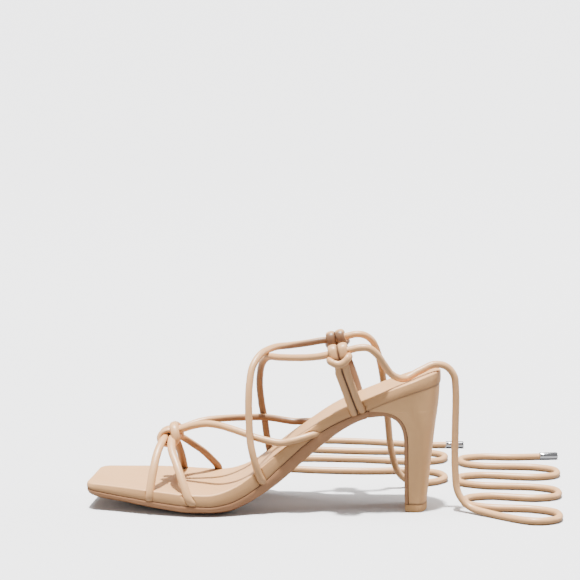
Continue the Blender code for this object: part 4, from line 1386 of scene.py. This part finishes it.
def make_heel_tip(rubber):
    """The wearing tip, reaching under the outsole's flap, with worn lower edges."""
    middle = 0.5 * (HEEL[0].front - FLAP + HEEL[0].back)
    rings = []
    for z, inset in TIP_PROFILE:
        side = []
        for kind, value in heel_places():
            x, y = heel_point(kind, value, HEEL[0].z)
            if kind == "front":
                x -= FLAP
            if kind == "side":
                x -= FLAP * (1 - value)
            side.append((x + math.copysign(inset, middle - x), max(0.0, y - inset), z))
        rings.append(heel_ring(side))
    mesh = mesh_from_rings("heel_tip_block", rings, sharp=SHARP)
    # Painted shade at the top of the tip, under the heel
    finish_cover(mesh, seam_shade(TIP_SEAM, TIP_HEIGHT - points_of(mesh)[:, 2]), rubber, "heel_tip")


# Studio, metres

FLOOR_WIDTH = 12.0
FLOOR_FRONT = -6.0
FLOOR_BACK = 5.0
# Where the floor bends up behind the shoe, the radius of the bend, and the slope after it
BEND_AT = 0.7
BEND = 1.6
BEND_STEPS = 12
SLOPE = math.radians(28.0)
# The floor as the camera sees it, and the duller floor that throws light back up at the shoe
FLOOR_SEEN = (0.81, 0.81, 0.82, 1.0)
FLOOR_BOUNCE = (0.205, 0.205, 0.205, 1.0)
FLOOR_ROUGHNESS = 0.8
FLOOR_SPECULAR = 0.1
Sun = namedtuple("Sun", "name strength angle came_from")
SUNS = [
    Sun("overhead_lamp", 11.6, 3.0, Vector((-0.05, -0.12, 1.0))),
    Sun("overhead_soft", 2.6, 40.0, Vector((-0.1, 0.0, 1.0))),
]
Box = namedtuple("Box", "name place size power")
BOXES = [
    Box("toe_side_box", Vector((-1.7, -0.45, 0.55)), 0.8, 5.8),
    Box("heel_side_box", Vector((1.6, 0.5, 0.7)), 0.6, 14.0),
]
BOX_AIM = Vector((0.0, 0.0, 0.06))
WORLD_STRENGTH = 0.30


def make_floor():
    """A plain pale floor that rises behind as a gentle ramp, so that it is evenly lit and shows no corner."""
    line = [(FLOOR_FRONT, 0.0), (BEND_AT, 0.0)]
    for t in shares(BEND_STEPS)[1:]:
        angle = SLOPE * t
        line.append((BEND_AT + BEND * math.sin(angle), BEND * (1 - math.cos(angle))))
    y, z = line[-1]
    line.append((FLOOR_BACK, z + (FLOOR_BACK - y) * math.tan(SLOPE)))
    corners = [(side * FLOOR_WIDTH / 2, y, z) for y, z in line for side in (-1, 1)]
    faces = [(i, i + 1, i + 3, i + 2) for i in range(0, len(corners) - 2, 2)]
    mesh = bpy.data.meshes.new("floor")
    mesh.from_pydata(corners, [], faces)
    mesh.shade_smooth()
    material, tree, shader = new_material("pale_floor")
    seen = tree.nodes.new("ShaderNodeLightPath").outputs["Is Camera Ray"]
    set_inputs(shader, {
        "Base Color": mixed(tree, seen, FLOOR_BOUNCE, FLOOR_SEEN),
        "Roughness": FLOOR_ROUGHNESS,
        "Specular IOR Level": FLOOR_SPECULAR,
    })
    object_from(mesh, material)


def add_lamp(name, kind, direction, **settings):
    """A lamp that shines in a direction."""
    lamp = bpy.data.lights.new(name, kind)
    for key, value in settings.items():
        setattr(lamp, key, value)
    item = add_object(name, lamp)
    aim(item, direction)
    return item


def make_lights():
    """A hard lamp and a soft cloth above, soft boxes at both ends, and a weak even light all round."""
    for sun in SUNS:
        add_lamp(sun.name, "SUN", -sun.came_from, energy=sun.strength, angle=math.radians(sun.angle))
    for box in BOXES:
        lamp = add_lamp(box.name, "AREA", BOX_AIM - box.place, shape="DISK", size=box.size, energy=box.power)
        lamp.location = box.place
    world = bpy.data.worlds.new("studio")
    world.use_nodes = True
    background = world.node_tree.nodes["Background"]
    set_inputs(background, {"Color": (1.0, 1.0, 1.0, 1.0), "Strength": WORLD_STRENGTH})
    bpy.context.scene.world = world


def main():
    """The camera, the cords and tips, the covers, and the studio."""
    make_camera()
    skin = skin_group()
    leathers = {name: make_leather(name, skin) for name in LEATHERS}
    strap_leather = leathers["strap_leather"]
    metal = make_metal()
    tree = tube_tree()
    for seed, side in enumerate(TIES, TIE_SEED):
        make_tie(side, seed, tree, strap_leather, metal)
    strap_points = spaced(strap_routes(), ROUTE_STEP)
    tab_points = spaced({side: tab_route(tab) for side, tab in TABS.items()}, TAB_STEP)
    make_straps(strap_points, tree, strap_leather)
    make_tabs(tab_points, tree, strap_leather)
    make_footbed(leathers["footbed_leather"], cord_feet(strap_points, tab_points))
    make_outsole(leathers["sole_leather"])
    make_heel(leathers["heel_leather"])
    make_heel_tip(leathers["tip_rubber"])
    make_floor()
    make_lights()


main()
